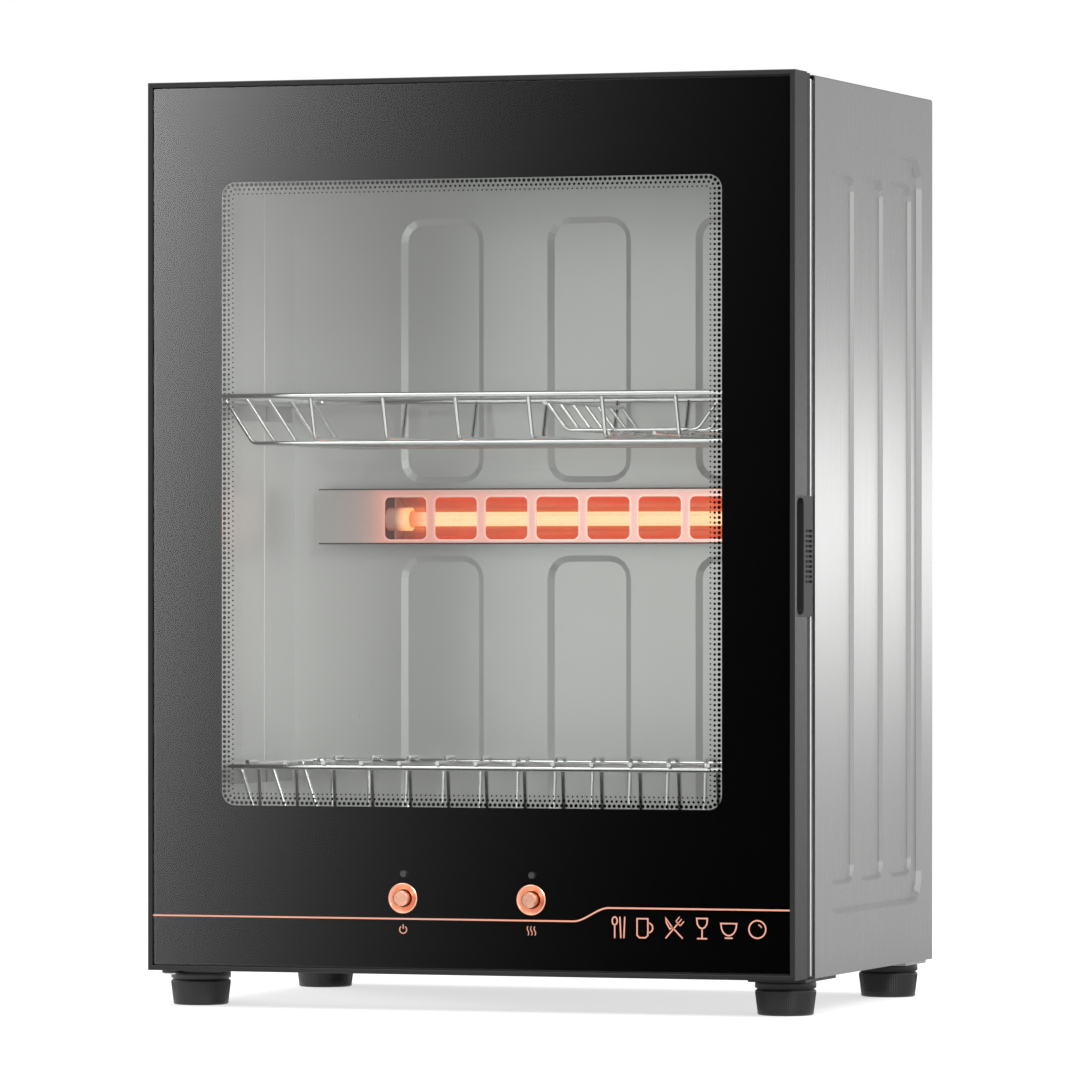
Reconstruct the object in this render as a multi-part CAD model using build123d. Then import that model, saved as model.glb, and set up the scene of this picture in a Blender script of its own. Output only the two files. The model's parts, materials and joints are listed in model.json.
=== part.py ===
from build123d import *
import os
from math import atan2, cos, degrees, pi, sin

# Dish sterilizer cabinet: a free-standing steel box with a glass-fronted door hinged on the
# left, two wire racks, a chopstick basket and a far-infrared heater on the inner back wall.
# While it is built, y is counted back from the door's front lip and z up from the door's
# bottom edge; every piece is moved to the object's own origin as it is written.
# All sizes are millimetres.

# ---- door outline and frame ----
door_w = 457.0            # width of the door and of the body
door_h = 600.0            # height of the door
frame_d = 28.0            # depth of the door's frame
lip_w = 3.5               # front lip seen round the glass
frame_wall = 1.8          # wall of the frame section
ledge_w = 12.0            # inward reach of the frame's ledge and rear flange
ledge_y = 5.0             # depth of the ledge that the glass lies on
ledge_t = 2.0             # thickness of the ledge
flange_t = 2.0            # thickness of the frame's rear flange
lip_round = 0.7           # rounding of the lip's two edges

# ---- glass and its printed border ----
glass_gap = 0.7           # gap between the lip and the glass edge
glass_y = 0.9             # depth of the glass face behind the lip
glass_t = 4.0             # front glass thickness
print_t = 0.3             # printed border and its backing film
print_gap = 0.02          # glue line between the film and the glass
window_side = 51.75       # printed border beside the clear window
window_above = 67.85
window_below = 111.85
window_r = 9.5            # corner radius of the window

# ---- rear tray, inner glass and gasket ----
tray_inset = 2.5          # tray outline inside the door outline
tray_plate = 2.0          # thickness of the tray's plate
tray_d = 14.0             # depth of the tray with its rim
tray_taper = 3.0          # how far the rim draws in towards the back
rim_w = 11.0              # width of the rim at its back face
tray_open_side = 14.25    # how far the tray's opening runs past the window
tray_open_ends = 13.85
tray_open_r = 12.0
inner_glass_lap = 6.0     # how far the inner glass overlaps the opening
inner_glass_t = 3.2
gasket_w = 8.0
gasket_t = 2.1
gasket_inset = 6.5        # gasket outline inside the door outline
post_d = 6.0              # board posts moulded on the tray

# ---- body shell ----
body_gap = 18.5           # from the frame's back to the shell's front edge
body_d = 285.5            # shell depth
body_top_drop = 1.0       # shell top below the door's top
body_bottom_drop = 0.5    # shell bottom below the door's bottom
sheet = 1.0               # shell, back and base sheet
shell_round = 2.0         # outer bend of the shell's top corners
hem_w = 2.0               # folded front edge of the shell's sides
hem_d = 4.0
back_flange_w = 10.0      # inward flange that the back cover is screwed to
back_edge = 3.0           # how far the shell edge runs past the flange
pan_clear = 0.3           # base pan to the shell
pan_fold = 12.0           # height of the pan's folded edges

# ---- pressed panels in the sides ----
panel_front = 28.5        # margin from the shell's front edge
panel_back = 27.0         # margin from the shell's back edge
panel_low = 40.0          # margin from the door's bottom
panel_high = 42.5         # margin from the door's top
panel_r = 22.0
panel_slope = 4.0         # width of the sloped wall
panel_depth = 3.0
slot_w = 57.0             # three long pressings inside the panel
slot_gap = 13.3
slot_end = 19.5           # from the panel's end to a pressing's end
slot_r = 12.0
slot_slope = 3.0
slot_depth = 2.0
slot_count = 3
corner_steps = 4          # straight steps in a pressing's rounded corner

# ---- inner liner ----
liner_side = 9.5          # from the door's edge to the inside of a side wall
liner_floor = 57.0
liner_drop = 24.0         # ceiling below the door's top
liner_back_y = 260.0      # face of the inner back wall
liner_t = 0.8
liner_r = 6.0
bead_y = 198.5            # upright bead in the side walls
bead_r = 1.2
bezel_front = 44.5        # front face of the bezel round the mouth
bezel_t = 2.5
bezel_lap = 2.0           # bezel reach over the liner's edge
bezel_clear = 0.3
bezel_round = 1.0         # rounding of the bezel's front edge
back_lap = 3.2            # inner back wall's reach past the liner's inside
back_panel_w = 61.5       # pressed panels in the inner back wall
back_panel_pitch = 108.7
back_panel_top = 517.7
back_panel_mid = 332.0
back_panel_low = 281.0
back_panel_bottom = 95.0
back_panel_r = 16.0
back_panel_slope = 4.4
back_panel_depth = 3.0
back_panel_count = 3

# ---- heater ----
cover_side = 22.6         # from a side wall to the cover's end
cover_low = 289.0
cover_high = 328.0
cover_d = 14.0
cover_t = 1.0
pane_w = 31.0             # square windows in the cover
pane_h = 29.7
pane_z = 307.2
pane_r = 4.0
pane_pitch = 37.5
pane_count = 8
tube_y = 262.0            # heater tube axis
tube_z = 306.6
tube_d = 12.6
tube_bore = 10.4
tube_len = 272.0
core_d = 7.0              # wound heating element
cap_d = 16.0
cap_len = 17.0
cap_grip = 4.0            # tube length held in a cap
trough_r = 15.2
trough_w = 336.0
trough_lip = 4.3
clip_t = 1.2
clip_x = 143.0

# ---- racks ----
rim_wire = 4.0
rack_wire = 3.0
rack_side = 21.0          # from a side wall to the rack rim's centre line
rack_front = 50.0
rack_back = 246.0
rack_corner = 8.0
rack_join = 2.5           # a cross wire's end in from the rim's centre line
weld = 0.4                # how far crossing wires sink into each other
upper_z = 389.0           # upper rack rim
upper_floor = 357.0
upper_splay = 23.0        # how far a floor draws in from its rim
upper_slope = 10.0        # how far the front and back lean in
upper_cross_count = 5
upper_long_count = 6
upper_long_pitch = 52.0
wire_sides = 6            # facets round a wire
rim_drop = 0.5            # a wire's end below the rim's centre line
cross_inset = 6.0         # first cross wire of the lower rack behind the dividers' slope
lower_z = 136.8           # lower rack rim
lower_front = 60.0
lower_floor = 96.0
lower_splay = 16.0
divider_count = 14
divider_pitch = 27.4
divider_run = 22.0        # level run at each end of a divider
divider_tip = 3.0         # how far a divider reaches past the rim
divider_lean = 4.0
lower_cross_count = 3
ledge_gap = 0.3           # rim wire above its ledge
rail_t = 1.5
rail_drop = 12.0          # upright leg of a rail

# ---- chopstick basket ----
basket_x = 94.0
basket_wire = 2.5
basket_half_top = 60.5
basket_half_floor = 46.0
basket_h = 18.5
basket_first = 68.0
basket_pitch = 27.0
basket_count = 7
basket_runner = 16.0      # half the distance of the two runners
basket_end = 4.0          # how far the rims run past the end wires
runner_end = 1.5          # how far the runners do

# ---- buttons and lenses ----
button_x = 45.3
button_z = 51.0
lens_z = 67.3
bezel_r = 10.15
barrel_r = 7.0
well_r = 6.0              # bore round a button cap
barrel_end = 9.0
cap_r = 5.2
cap_front = -5.5
cap_back = 6.0
stem_r = 2.5
stem_end = 16.0
stem_fit = 0.05           # radial running clearance of a stem
lens_r = 2.2
hole_clear = 0.15
switch_size = 12.0
board_y = 20.0
board_t = 1.6
board_w = 140.0
board_h = 50.0
board_z = 61.0
post_x = 62.0
post_dz = 19.0

# ---- handle on the right of the door ----
handle_z = 279.5
handle_h = 80.0
grip_front = 4.0          # finger slot, from the door's front
grip_back = 20.5
grip_r = 5.0
grip_in = 3.9             # the stile's opening starts this far in, beside the glass edge
cup_depth = 16.0
cup_t = 1.5
plate_round = 1.5
strip_back = 41.0         # louvred plate runs back to here
strip_t = 1.9
louvre_count = 11
louvre_pitch = 3.35
louvre_h = 1.7
louvre_from = 24.7
louvre_to = 39.2

# ---- hinges ----
pin_in = 9.5              # pin axis in from the door's left edge
pin_y = 19.0
pin_d = 6.0
pin_fit = 0.05            # radial running clearance in the bush
bush_d = 9.0
bush_len = 14.0
bush_flange_d = 12.0
bush_flange_t = 0.4
tongue_w = 12.0
bracket_t = 2.0
top_leaf_t = 1.5
leaf_reach = 38.0         # depth of the leaf under the shell's top
leaf_clear = 0.5
block_w = 20.0            # corner block in the frame
block_d = 17.5
block_y = 8.2
block_h = 20.0

# ---- feet ----
foot_in = 20.5            # foot axis in from the door's edge
foot_front_y = 47.0
foot_back_y = 292.0
foot_r = 20.5
foot_low_r = 18.6
foot_h = 22.5
foot_collar = 4.5
foot_groove = 1.0
foot_edge = 1.4           # cut lower edge
foot_sides = 24           # facets round a foot
foot_seat = 8.0           # screw seat below the foot's top
plate_w = 40.0
plate_back = 50.0         # foot plate reach behind the foot axis
screw_r = 2.5
screw_head_r = 5.0

# ---- back cover, gland and screws ----
cover_screw_r = 1.5
cover_head_r = 3.5
cover_head_h = 0.9
vent_w = 70.0
vent_h = 3.0
vent_pitch = 9.0
vent_rows = 6
vent_x = 90.0
vent_high = 500.0
vent_low = 130.0
gland_in = 43.5           # gland axis in from the door's edge
gland_z = 45.0
gland_bore = 8.0
gland_body = 14.0
gland_flange = 18.0
terminal_w = 44.0
terminal_d = 16.0
terminal_gap = 14.0       # block to the shell's back flange
terminal_in = 45.0        # block's middle from the gland
sensor_w = 34.0
sensor_in = 63.5          # sensor's middle in from the door's edge

# ---- worked-out places ----
half = door_w / 2
window_w = door_w - 2 * window_side
window_h = door_h - window_above - window_below
window_z = window_below + window_h / 2       # height of the window's centre
tray_open_w = window_w + 2 * tray_open_side
tray_open_h = window_h + 2 * tray_open_ends
liner_w = door_w - 2 * liner_side
liner_top = door_h - liner_drop
cover_w = liner_w - 2 * cover_side
rack_half = liner_w / 2 - rack_side
upper_floor_half = rack_half - upper_splay
lower_floor_half = rack_half - lower_splay
grip_x = half - grip_in
foot_x = half - foot_in
gland_x = half - gland_in
body_y = frame_d + body_gap                  # shell's front edge
body_end = body_y + body_d                   # shell's back edge
top_out = door_h - body_top_drop             # shell's top face
bottom_out = -body_bottom_drop
tray_back = frame_d + tray_d
gasket_back = tray_back + gasket_t
tray_open_z = window_z
pin_x = -half + pin_in
bracket_top = bottom_out
bracket_low = bottom_out - bracket_t
foot_low = bracket_low - foot_h
flange_y = body_end - back_edge - sheet      # front face of the shell's back flange
leaf_top = top_out - sheet
leaf_low = leaf_top - top_leaf_t
liner_mid = (liner_top + liner_floor) / 2
liner_h = liner_top - liner_floor
y_middle = (cap_front + body_end) / 2
to_origin = Pos(0, -y_middle, -foot_low)
sides = (-1, 1)

written = []


def keep(node, *solids):
    """Move the solids of one node to the origin and write them."""
    shape = solids[0] if len(solids) == 1 else Compound(children=list(solids))
    moved = to_origin * shape
    export_step(moved, "parts/" + node + ".step")
    written.append(node)


def block(x0, x1, y0, y1, z0, z1):
    return Pos((x0 + x1) / 2, (y0 + y1) / 2, (z0 + z1) / 2) * Box(x1 - x0, y1 - y0, z1 - z0)


def front_plane(x, y, z):
    """Work plane that faces the front, with its own y up."""
    return Plane(origin=(x, y, z), x_dir=(1, 0, 0), z_dir=(0, -1, 0))


def side_plane(x, y, z):
    """Work plane that faces +X, with its own x towards the back."""
    return Plane(origin=(x, y, z), x_dir=(0, 1, 0), z_dir=(1, 0, 0))


def slab(w, h, r, y0, y1, x=0, z=0):
    """Upright plate with rounded corners, from depth y0 to y1."""
    outline = RectangleRounded(w, h, r) if r > 0 else Rectangle(w, h)
    return extrude(front_plane(x, y1, z) * outline, amount=y1 - y0)


def rod_y(radius, y0, y1, x, z):
    return extrude(front_plane(x, y1, z) * Circle(radius), amount=y1 - y0)


def rod_z(radius, z0, z1, x, y):
    return Pos(x, y, (z0 + z1) / 2) * Cylinder(radius, z1 - z0)


def rod_x(radius, x0, x1, y, z):
    return extrude(side_plane(x0, y, z) * Circle(radius), amount=x1 - x0)


def facets(radius, sides):
    """Many-sided outline that has a circle of this radius just inside it."""
    return RegularPolygon(radius, sides, major_radius=False)


def stud_z(radius, z0, z1, x, y, sides=12):
    """Upright many-sided pin or hole for small fasteners."""
    return Pos(x, y, z0) * extrude(facets(radius, sides), amount=z1 - z0)


def stud_y(radius, y0, y1, x, z, sides=12):
    return extrude(front_plane(x, y1, z) * facets(radius, sides), amount=y1 - y0)


def stud_x(radius, x0, x1, y, z, sides=16):
    return extrude(side_plane(x0, y, z) * facets(radius, sides), amount=x1 - x0)


def wire(points, diameter, across):
    """Wire with a level top and bottom, along straight runs in one plane square to across."""
    path = Polyline(*points)
    start = Plane(origin=points[0], x_dir=across, z_dir=path % 0)
    section = start * facets(diameter / 2, wire_sides)
    return sweep(section, path=path, transition=Transition.RIGHT)


def spaced(count, pitch):
    return [(k - (count - 1) / 2) * pitch for k in range(count)]


# ---- door frame ----
def frame_section():
    """Section of a frame member: u runs inward from the edge, v runs back."""
    points = [(0, 0), (lip_w, 0), (lip_w, ledge_y), (ledge_w, ledge_y),
              (ledge_w, ledge_y + ledge_t), (frame_wall, ledge_y + ledge_t),
              (frame_wall, frame_d - flange_t), (ledge_w, frame_d - flange_t),
              (ledge_w, frame_d), (0, frame_d)]
    section = make_face(Polyline(*points, close=True))
    edges = [v for v in section.vertices() if v.Y < lip_round and v.X < lip_w + lip_round]
    return fillet(edges, lip_round)


def mitre_piece(x0, x1, z0, z1, x2, x3, z2, z3):
    """Four-cornered wedge in the door's plane that cuts a member at its mitres."""
    outline = make_face(Polyline((x0, z0), (x1, z1), (x2, z2), (x3, z3), close=True))
    return extrude(front_plane(0, frame_d + 1, 0) * outline, amount=frame_d + 2)


def stile(side):
    section = Plane(origin=(side * half, 0, 0), x_dir=(-side, 0, 0), z_dir=(0, 0, -side))
    bar = extrude(section * frame_section(), amount=-side * door_h)
    inner = ledge_w + 1
    wedge = mitre_piece(side * half, side * half, 0, door_h,
                        side * (half - inner), side * (half - inner), door_h - inner, inner)
    return bar & wedge


def rail(top):
    z_edge = door_h if top else 0
    into = -1 if top else 1
    section = Plane(origin=(-half, 0, z_edge), x_dir=(0, 0, into), z_dir=(-into, 0, 0))
    bar = extrude(section * frame_section(), amount=-into * door_w)
    inner = ledge_w + 1
    wedge = mitre_piece(-half, half, z_edge, z_edge,
                        half - inner, -half + inner, z_edge + into * inner, z_edge + into * inner)
    return bar & wedge


def leaf_sweep():
    """Room that the upper hinge leaf takes as the door turns round it."""
    reach = tongue_w / 2 + leaf_clear
    return block(-half - 1, pin_x + reach, pin_y - reach - 4, tray_back + 1,
                 leaf_low - leaf_clear, leaf_top + 0.15)


def bush_hole(z0, z1):
    return stud_z(bush_d / 2, z0, z1, pin_x, pin_y)


# ---- body shell ----
def stepped_rectangle(w, h, r):
    """Rectangle whose rounded corners are made of a few short straight steps."""
    points = []
    for quarter in range(4):
        x = (w / 2 - r) * (1 if quarter in (0, 3) else -1)
        y = (h / 2 - r) * (1 if quarter in (0, 1) else -1)
        for step in range(corner_steps + 1):
            angle = pi / 2 * (quarter + step / corner_steps)
            points.append((x + r * cos(angle), y + r * sin(angle)))
    return make_face(Polyline(*points, close=True))


def pressing(plane, w, h, r, slope, depth):
    """Solid of a pressing, wide at its mouth on the plane, sunk against the plane's own z."""
    mouth = plane * stepped_rectangle(w, h, r)
    floor_face = plane * Pos(0, 0, -depth) * stepped_rectangle(
        w - 2 * slope, h - 2 * slope, r - slope)
    return loft([mouth.face(), floor_face.face()], ruled=True)


def tub(w, h, r, slope, depth, x, y, z, side):
    wall = Plane(origin=(x, y, z), x_dir=(0, 1, 0), z_dir=(side, 0, 0))
    return pressing(wall, w, h, r, slope, depth)


def back_tub(w, h, r, slope, depth, x, y, z):
    return pressing(front_plane(x, y, z), w, h, r, slope, depth)


def make_shell():
    height = top_out - bottom_out
    outer = extrude(front_plane(0, body_end, bottom_out + height / 2) * Rectangle(door_w, height),
                    amount=body_d)
    top_edges = outer.edges().filter_by(Axis.Y).group_by(Axis.Z)[-1]
    outer = fillet(top_edges, shell_round)
    hollow = block(-half + sheet, half - sheet, body_y - 1, body_end + 1,
                   bottom_out - 1, top_out - sheet)
    shell = outer - hollow
    flange = block(-half + sheet, half - sheet, flange_y, flange_y + sheet,
                   bottom_out, top_out - sheet)
    flange -= block(-half + sheet + back_flange_w, half - sheet - back_flange_w,
                    flange_y - 1, flange_y + sheet + 1,
                    bottom_out - 1, top_out - sheet - back_flange_w)
    shell += flange
    panel_w = body_d - panel_front - panel_back
    panel_h = door_h - panel_low - panel_high
    panel_y = body_y + panel_front + panel_w / 2
    panel_z = panel_low + panel_h / 2
    slot_h = panel_h - 2 * slot_end
    for side in sides:
        face_x = side * half
        hem = block(min(face_x, face_x - side * hem_w), max(face_x, face_x - side * hem_w),
                    body_y, body_y + hem_d, bottom_out, leaf_low - 1)
        shell += hem
        shell += tub(panel_w, panel_h, panel_r, panel_slope, panel_depth,
                     face_x - side * sheet, panel_y, panel_z, side)
        shell -= tub(panel_w, panel_h, panel_r, panel_slope, panel_depth,
                     face_x, panel_y, panel_z, side)
        for offset in spaced(slot_count, slot_w + slot_gap):
            sunk_x = face_x - side * panel_depth
            shell += tub(slot_w, slot_h, slot_r, slot_slope, slot_depth,
                         sunk_x - side * sheet, panel_y + offset, panel_z, side)
            shell -= tub(slot_w, slot_h, slot_r, slot_slope, slot_depth,
                         sunk_x, panel_y + offset, panel_z, side)
    shell -= screw_places(cover_screw_r + hole_clear, flange_y - 1, flange_y + sheet + 1)
    return shell


def cover_screw_spots():
    inset = sheet + back_flange_w / 2
    xs = half - inset
    return [(side * xs, z) for side in sides for z in (30.0, door_h / 2, door_h - 40.0)]


def screw_places(radius, y0, y1):
    return fuse_all([stud_y(radius, y0, y1, x, z, 8) for x, z in cover_screw_spots()])


def fuse_all(shapes):
    return shapes[0].fuse(*shapes[1:])


def make_back_cover():
    low = bottom_out + sheet
    high = top_out - sheet - 0.5
    width = door_w - 2 * sheet - 1.0
    face = flange_y + sheet
    cover = block(-width / 2, width / 2, face, face + sheet, low, high)
    for z_mid in (vent_high, vent_low):
        for x in (-vent_x, vent_x):
            for offset in spaced(vent_rows, vent_pitch):
                cover -= slab(vent_w, vent_h, 0, face - 1, face + sheet + 1, x, z_mid + offset)
    cover -= screw_places(cover_screw_r + hole_clear, face - 1, face + sheet + 1)
    return cover - stud_y(gland_body / 2 + hole_clear, face - 1, face + sheet + 1,
                         gland_x, gland_z, 24)


def foot_spots():
    return [(side * foot_x, y) for y in (foot_front_y, foot_back_y) for side in sides]


def make_base_pan():
    width = half - sheet - pan_clear
    mouth = half - hem_w - pan_clear
    front = bezel_front + bezel_t
    behind_hem = body_y + hem_d + pan_clear
    back = flange_y - pan_clear
    top = bottom_out + sheet
    pan = block(-width, width, behind_hem, back, bottom_out, top)
    pan += block(-mouth, mouth, front, behind_hem + 1, bottom_out, top)
    for side in sides:
        outer = side * width
        pan += block(min(outer, outer - side * sheet), max(outer, outer - side * sheet),
                     behind_hem, back, bottom_out, bottom_out + pan_fold)
        pan -= stud_z(screw_r + hole_clear, bottom_out - 1, top + 1, side * foot_x, foot_back_y)
    return pan + block(-width, width, back - sheet, back, bottom_out, bottom_out + pan_fold)


def make_bezel():
    outer = half - hem_w - bezel_clear
    inner = liner_w / 2 - bezel_lap
    low = bottom_out + sheet + bezel_clear
    high = leaf_low - bezel_clear
    ring = block(-outer, outer, bezel_front, bezel_front + bezel_t, low, high)
    ring = fillet(ring.edges().group_by(Axis.Y)[0], bezel_round)
    return ring - slab(2 * inner, liner_h - 2 * bezel_lap, liner_r,
                       bezel_front - 1, bezel_front + bezel_t + 1, 0, liner_mid)


# ---- inner liner ----
def make_liner():
    front = bezel_front + bezel_t
    liner = slab(liner_w + 2 * liner_t, liner_h + 2 * liner_t, liner_r + liner_t,
                 front, liner_back_y, 0, liner_mid)
    liner -= slab(liner_w, liner_h, liner_r, front - 1, liner_back_y + 1, 0, liner_mid)
    for side in sides:
        bead = rod_z(bead_r, liner_floor + liner_r, liner_top - liner_r,
                     side * (liner_w / 2 + 0.3), bead_y)
        keep_in = block(-liner_w / 2 - liner_t, liner_w / 2 + liner_t, bead_y - 5, bead_y + 5,
                        liner_floor, liner_top)
        liner += bead & keep_in
    return liner


def back_panel_spans():
    return ((back_panel_mid, back_panel_top), (back_panel_bottom, back_panel_low))


def make_liner_back():
    wall = slab(liner_w + 2 * back_lap, liner_h + 2 * back_lap, liner_r, liner_back_y,
                liner_back_y + liner_t, 0, liner_mid)
    for low, high in back_panel_spans():
        for x in spaced(back_panel_count, back_panel_pitch):
            size = (back_panel_w, high - low, back_panel_r, back_panel_slope, back_panel_depth)
            wall += back_tub(*size, x, liner_back_y + liner_t, (low + high) / 2)
            wall -= back_tub(*size, x, liner_back_y, (low + high) / 2)
    wall -= block(-trough_w / 2, trough_w / 2, liner_back_y - 1, liner_back_y + 2,
                  tube_z - trough_r, tube_z + trough_r)
    return wall


def make_rails(rim_z):
    """Two angle rails on the side walls that the rim wire of a rack rests on."""
    top = rim_z - rim_wire / 2 - ledge_gap
    pieces = []
    for side in sides:
        wall = side * liner_w / 2
        tip = side * (rack_half - 0.5)
        shelf = block(min(wall, tip), max(wall, tip), rack_front + 2, rack_back + 4,
                      top - rail_t, top)
        leg = block(min(wall, wall - side * rail_t), max(wall, wall - side * rail_t),
                    rack_front + 2, rack_back + 4, top - rail_drop, top)
        # notched where the side wall's upright bead passes
        notch = block(min(wall, wall - side * 2 * bead_r), max(wall, wall - side * 2 * bead_r),
                      bead_y - bead_r - bezel_clear, bead_y + bead_r + bezel_clear,
                      top - rail_drop - 1, top + 1)
        pieces.append(shelf + leg - notch)
    return pieces


# ---- heater ----
def make_heater_cover():
    height = cover_high - cover_low
    z_mid = (cover_high + cover_low) / 2
    front = liner_back_y - cover_d
    cover = slab(cover_w, height, 0, front, liner_back_y, 0, z_mid)
    cover -= slab(cover_w - 2 * cover_t, height - 2 * cover_t, 0, front + cover_t,
                  liner_back_y + 1, 0, z_mid)
    for x in spaced(pane_count, pane_pitch):
        pane = slab(pane_w, pane_h, 0, front - 1, front + cover_t + 1, x, pane_z)
        cover -= chamfer(pane.edges().filter_by(Axis.Y), pane_r * 0.6)
    return cover


def make_trough():
    behind = liner_back_y + liner_t
    outer = trough_r + liner_t
    bowl = rod_x(outer, -trough_w / 2, trough_w / 2, tube_y, tube_z)
    bowl -= rod_x(trough_r, -trough_w / 2 + liner_t, trough_w / 2 - liner_t, tube_y, tube_z)
    bowl &= block(-trough_w, trough_w, behind, behind + 40, tube_z - 40, tube_z + 40)
    for side in sides:
        edge = tube_z + side * trough_r
        tip = edge + side * trough_lip
        bowl += block(-trough_w / 2, trough_w / 2, behind, behind + liner_t,
                      min(edge, tip), max(edge, tip))
    return bowl


def make_tube():
    tube = rod_x(tube_d / 2, -tube_len / 2, tube_len / 2, tube_y, tube_z)
    return tube - rod_x(tube_bore / 2, -tube_len, tube_len, tube_y, tube_z)


def make_caps():
    caps = []
    for side in sides:
        inner = side * (tube_len / 2 - cap_grip)
        outer = inner + side * cap_len
        cap = stud_x(cap_d / 2, min(inner, outer), max(inner, outer), tube_y, tube_z)
        socket_end = side * (tube_len / 2 + 0.2)
        cap -= stud_x(tube_d / 2 + 0.1, min(inner - side, socket_end),
                      max(inner - side, socket_end), tube_y, tube_z)
        caps.append(cap)
    return caps


def make_clips():
    """Half discs that stand in the trough and hold the ends of the tube."""
    clips = []
    for side in sides:
        x = side * clip_x
        disc = stud_x(trough_r - 0.4, x - clip_t / 2, x + clip_t / 2, tube_y, tube_z)
        disc -= stud_x(cap_d / 2 + 0.1, x - clip_t, x + clip_t, tube_y, tube_z)
        clips.append(disc & block(-trough_w, trough_w, tube_y - 4, tube_y + 40,
                                  tube_z - 40, tube_z + 40))
    return clips


def make_thermostat():
    y = liner_back_y + liner_t
    x = back_panel_pitch / 2
    z = (back_panel_mid + back_panel_top) / 2
    body = rod_y(9.0, y, y + 11.0, x, z)
    body += slab(30.0, 10.0, 3.0, y, y + 1.5, x, z)
    for offset in (-4.0, 4.0):
        body += block(x + offset - 0.4, x + offset + 0.4, y + 10.5, y + 18.0, z - 3, z + 3)
    return body


def make_fuse():
    y = liner_back_y + liner_t
    x = -back_panel_pitch / 2
    z = (back_panel_mid + back_panel_top) / 2
    saddle = block(x - 5, x + 5, y, y + 3.0, z - 6, z + 6)
    return saddle + rod_z(2.2, z - 11, z + 11, x, y + 3.6)


def make_terminals():
    low = bottom_out + sheet
    block_x = gland_x - terminal_in
    back = flange_y - terminal_gap
    body = block(block_x - terminal_w / 2, block_x + terminal_w / 2, back - terminal_d, back,
                 low, low + 16)
    for offset in spaced(3, 13.0):
        body -= stud_z(3.0, low + 10, low + 20, block_x + offset, back - terminal_d / 2, 8)
    return body


def make_gland():
    face = flange_y + 2 * sheet
    gland = stud_y(gland_flange / 2, face, face + 1.8, gland_x, gland_z, 24)
    gland += stud_y(gland_body / 2, face - 9.0, face + 1.0, gland_x, gland_z, 24)
    return gland - rod_y(gland_bore / 2, face - 20, face + 20, gland_x, gland_z)


def make_door_sensor():
    y = bezel_front + bezel_t
    low = liner_top + liner_t + 4.0
    x = half - sensor_in
    body = block(x - sensor_w / 2, x + sensor_w / 2, y, y + 9.0, low, low + 9.0)
    return body + block(x - 10, x + 10, y + 8.5, y + 12.0, low + 2, low + 7)


# ---- racks ----
def make_rim(z, front):
    """Closed rim wire with cut corners, lying level at height z, in two halves."""
    halves = []
    for side in sides:
        edge = side * rack_half
        turn = edge - side * rack_corner
        middle = [(0, front, z), (turn, front, z), (edge, front + rack_corner, z),
                  (edge, rack_back - rack_corner, z), (turn, rack_back, z), (0, rack_back, z)]
        path = Polyline(*middle)
        start = Plane(origin=middle[0], x_dir=(0, 1, 0), z_dir=path % 0)
        halves.append(sweep(start * facets(rim_wire / 2, wire_sides), path=path,
                            transition=Transition.RIGHT))
    return halves


def cross_wire(y, rim_z, floor_half, floor):
    """Wire from one side of the rim down, across the floor, and up to the other side."""
    join = rack_half - rack_join
    top = rim_z - rim_drop
    return wire([(-join, y, top), (-floor_half, y, floor), (floor_half, y, floor), (join, y, top)],
                rack_wire, (0, 1, 0))


def make_upper_rack():
    rack = make_rim(upper_z, rack_front)
    first = rack_front + upper_slope
    last = rack_back - upper_slope
    step = (last - first) / (upper_cross_count - 1)
    for k in range(upper_cross_count):
        rack.append(cross_wire(first + k * step, upper_z, upper_floor_half, upper_floor))
    floor = upper_floor + rack_wire - weld
    top = upper_z - rim_drop
    for x in spaced(upper_long_count, upper_long_pitch):
        rack.append(wire([(x, rack_front, top), (x, first, floor), (x, last, floor),
                          (x, rack_back, top)], rack_wire, (1, 0, 0)))
    return fuse_all(rack)


def make_lower_rack():
    rack = make_rim(lower_z, lower_front)
    top = lower_z + rim_wire / 2 + rack_wire / 2 - weld
    front_tip = lower_front - divider_tip
    back_tip = rack_back + divider_tip
    inner = divider_run + divider_lean
    for x in spaced(divider_count, divider_pitch):
        rack.append(wire([(x, front_tip, top), (x, front_tip + divider_run, top),
                          (x, front_tip + inner, lower_floor), (x, back_tip - inner, lower_floor),
                          (x, back_tip - divider_run, top), (x, back_tip, top)],
                         rack_wire, (1, 0, 0)))
    floor = lower_floor - rack_wire + weld
    first = lower_front + inner + cross_inset
    step = (rack_back + lower_front - 2 * first) / (lower_cross_count - 1)
    for k in range(lower_cross_count):
        rack.append(cross_wire(first + k * step, lower_z, lower_floor_half, floor))
    return fuse_all(rack)


def make_basket():
    rest = upper_floor + 2 * (rack_wire - weld) - rack_wire / 2 + weld + ledge_gap
    runner_z = rest + basket_wire / 2
    floor = runner_z + basket_wire - weld
    rim_z = floor + basket_h
    last = basket_first + (basket_count - 1) * basket_pitch
    wires = []
    for side in sides:
        x = basket_x + side * basket_half_top
        wires.append(wire([(x, basket_first - basket_end, rim_z), (x, last + basket_end, rim_z)],
                          rack_wire, (1, 0, 0)))
        x = basket_x + side * basket_runner
        wires.append(wire([(x, basket_first - runner_end, runner_z),
                           (x, last + runner_end, runner_z)], basket_wire, (1, 0, 0)))
    for k in range(basket_count):
        y = basket_first + k * basket_pitch
        spread = basket_half_top - rim_drop
        wires.append(wire([(basket_x - spread, y, rim_z), (basket_x - basket_half_floor, y, floor),
                           (basket_x + basket_half_floor, y, floor), (basket_x + spread, y, rim_z)],
                          basket_wire, (0, 1, 0)))
    return fuse_all(wires)


# ---- door pieces ----
def button_holes(radius, y0, y1):
    return fuse_all([stud_y(radius, y0, y1, side * button_x, button_z, 24) for side in sides])


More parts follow.
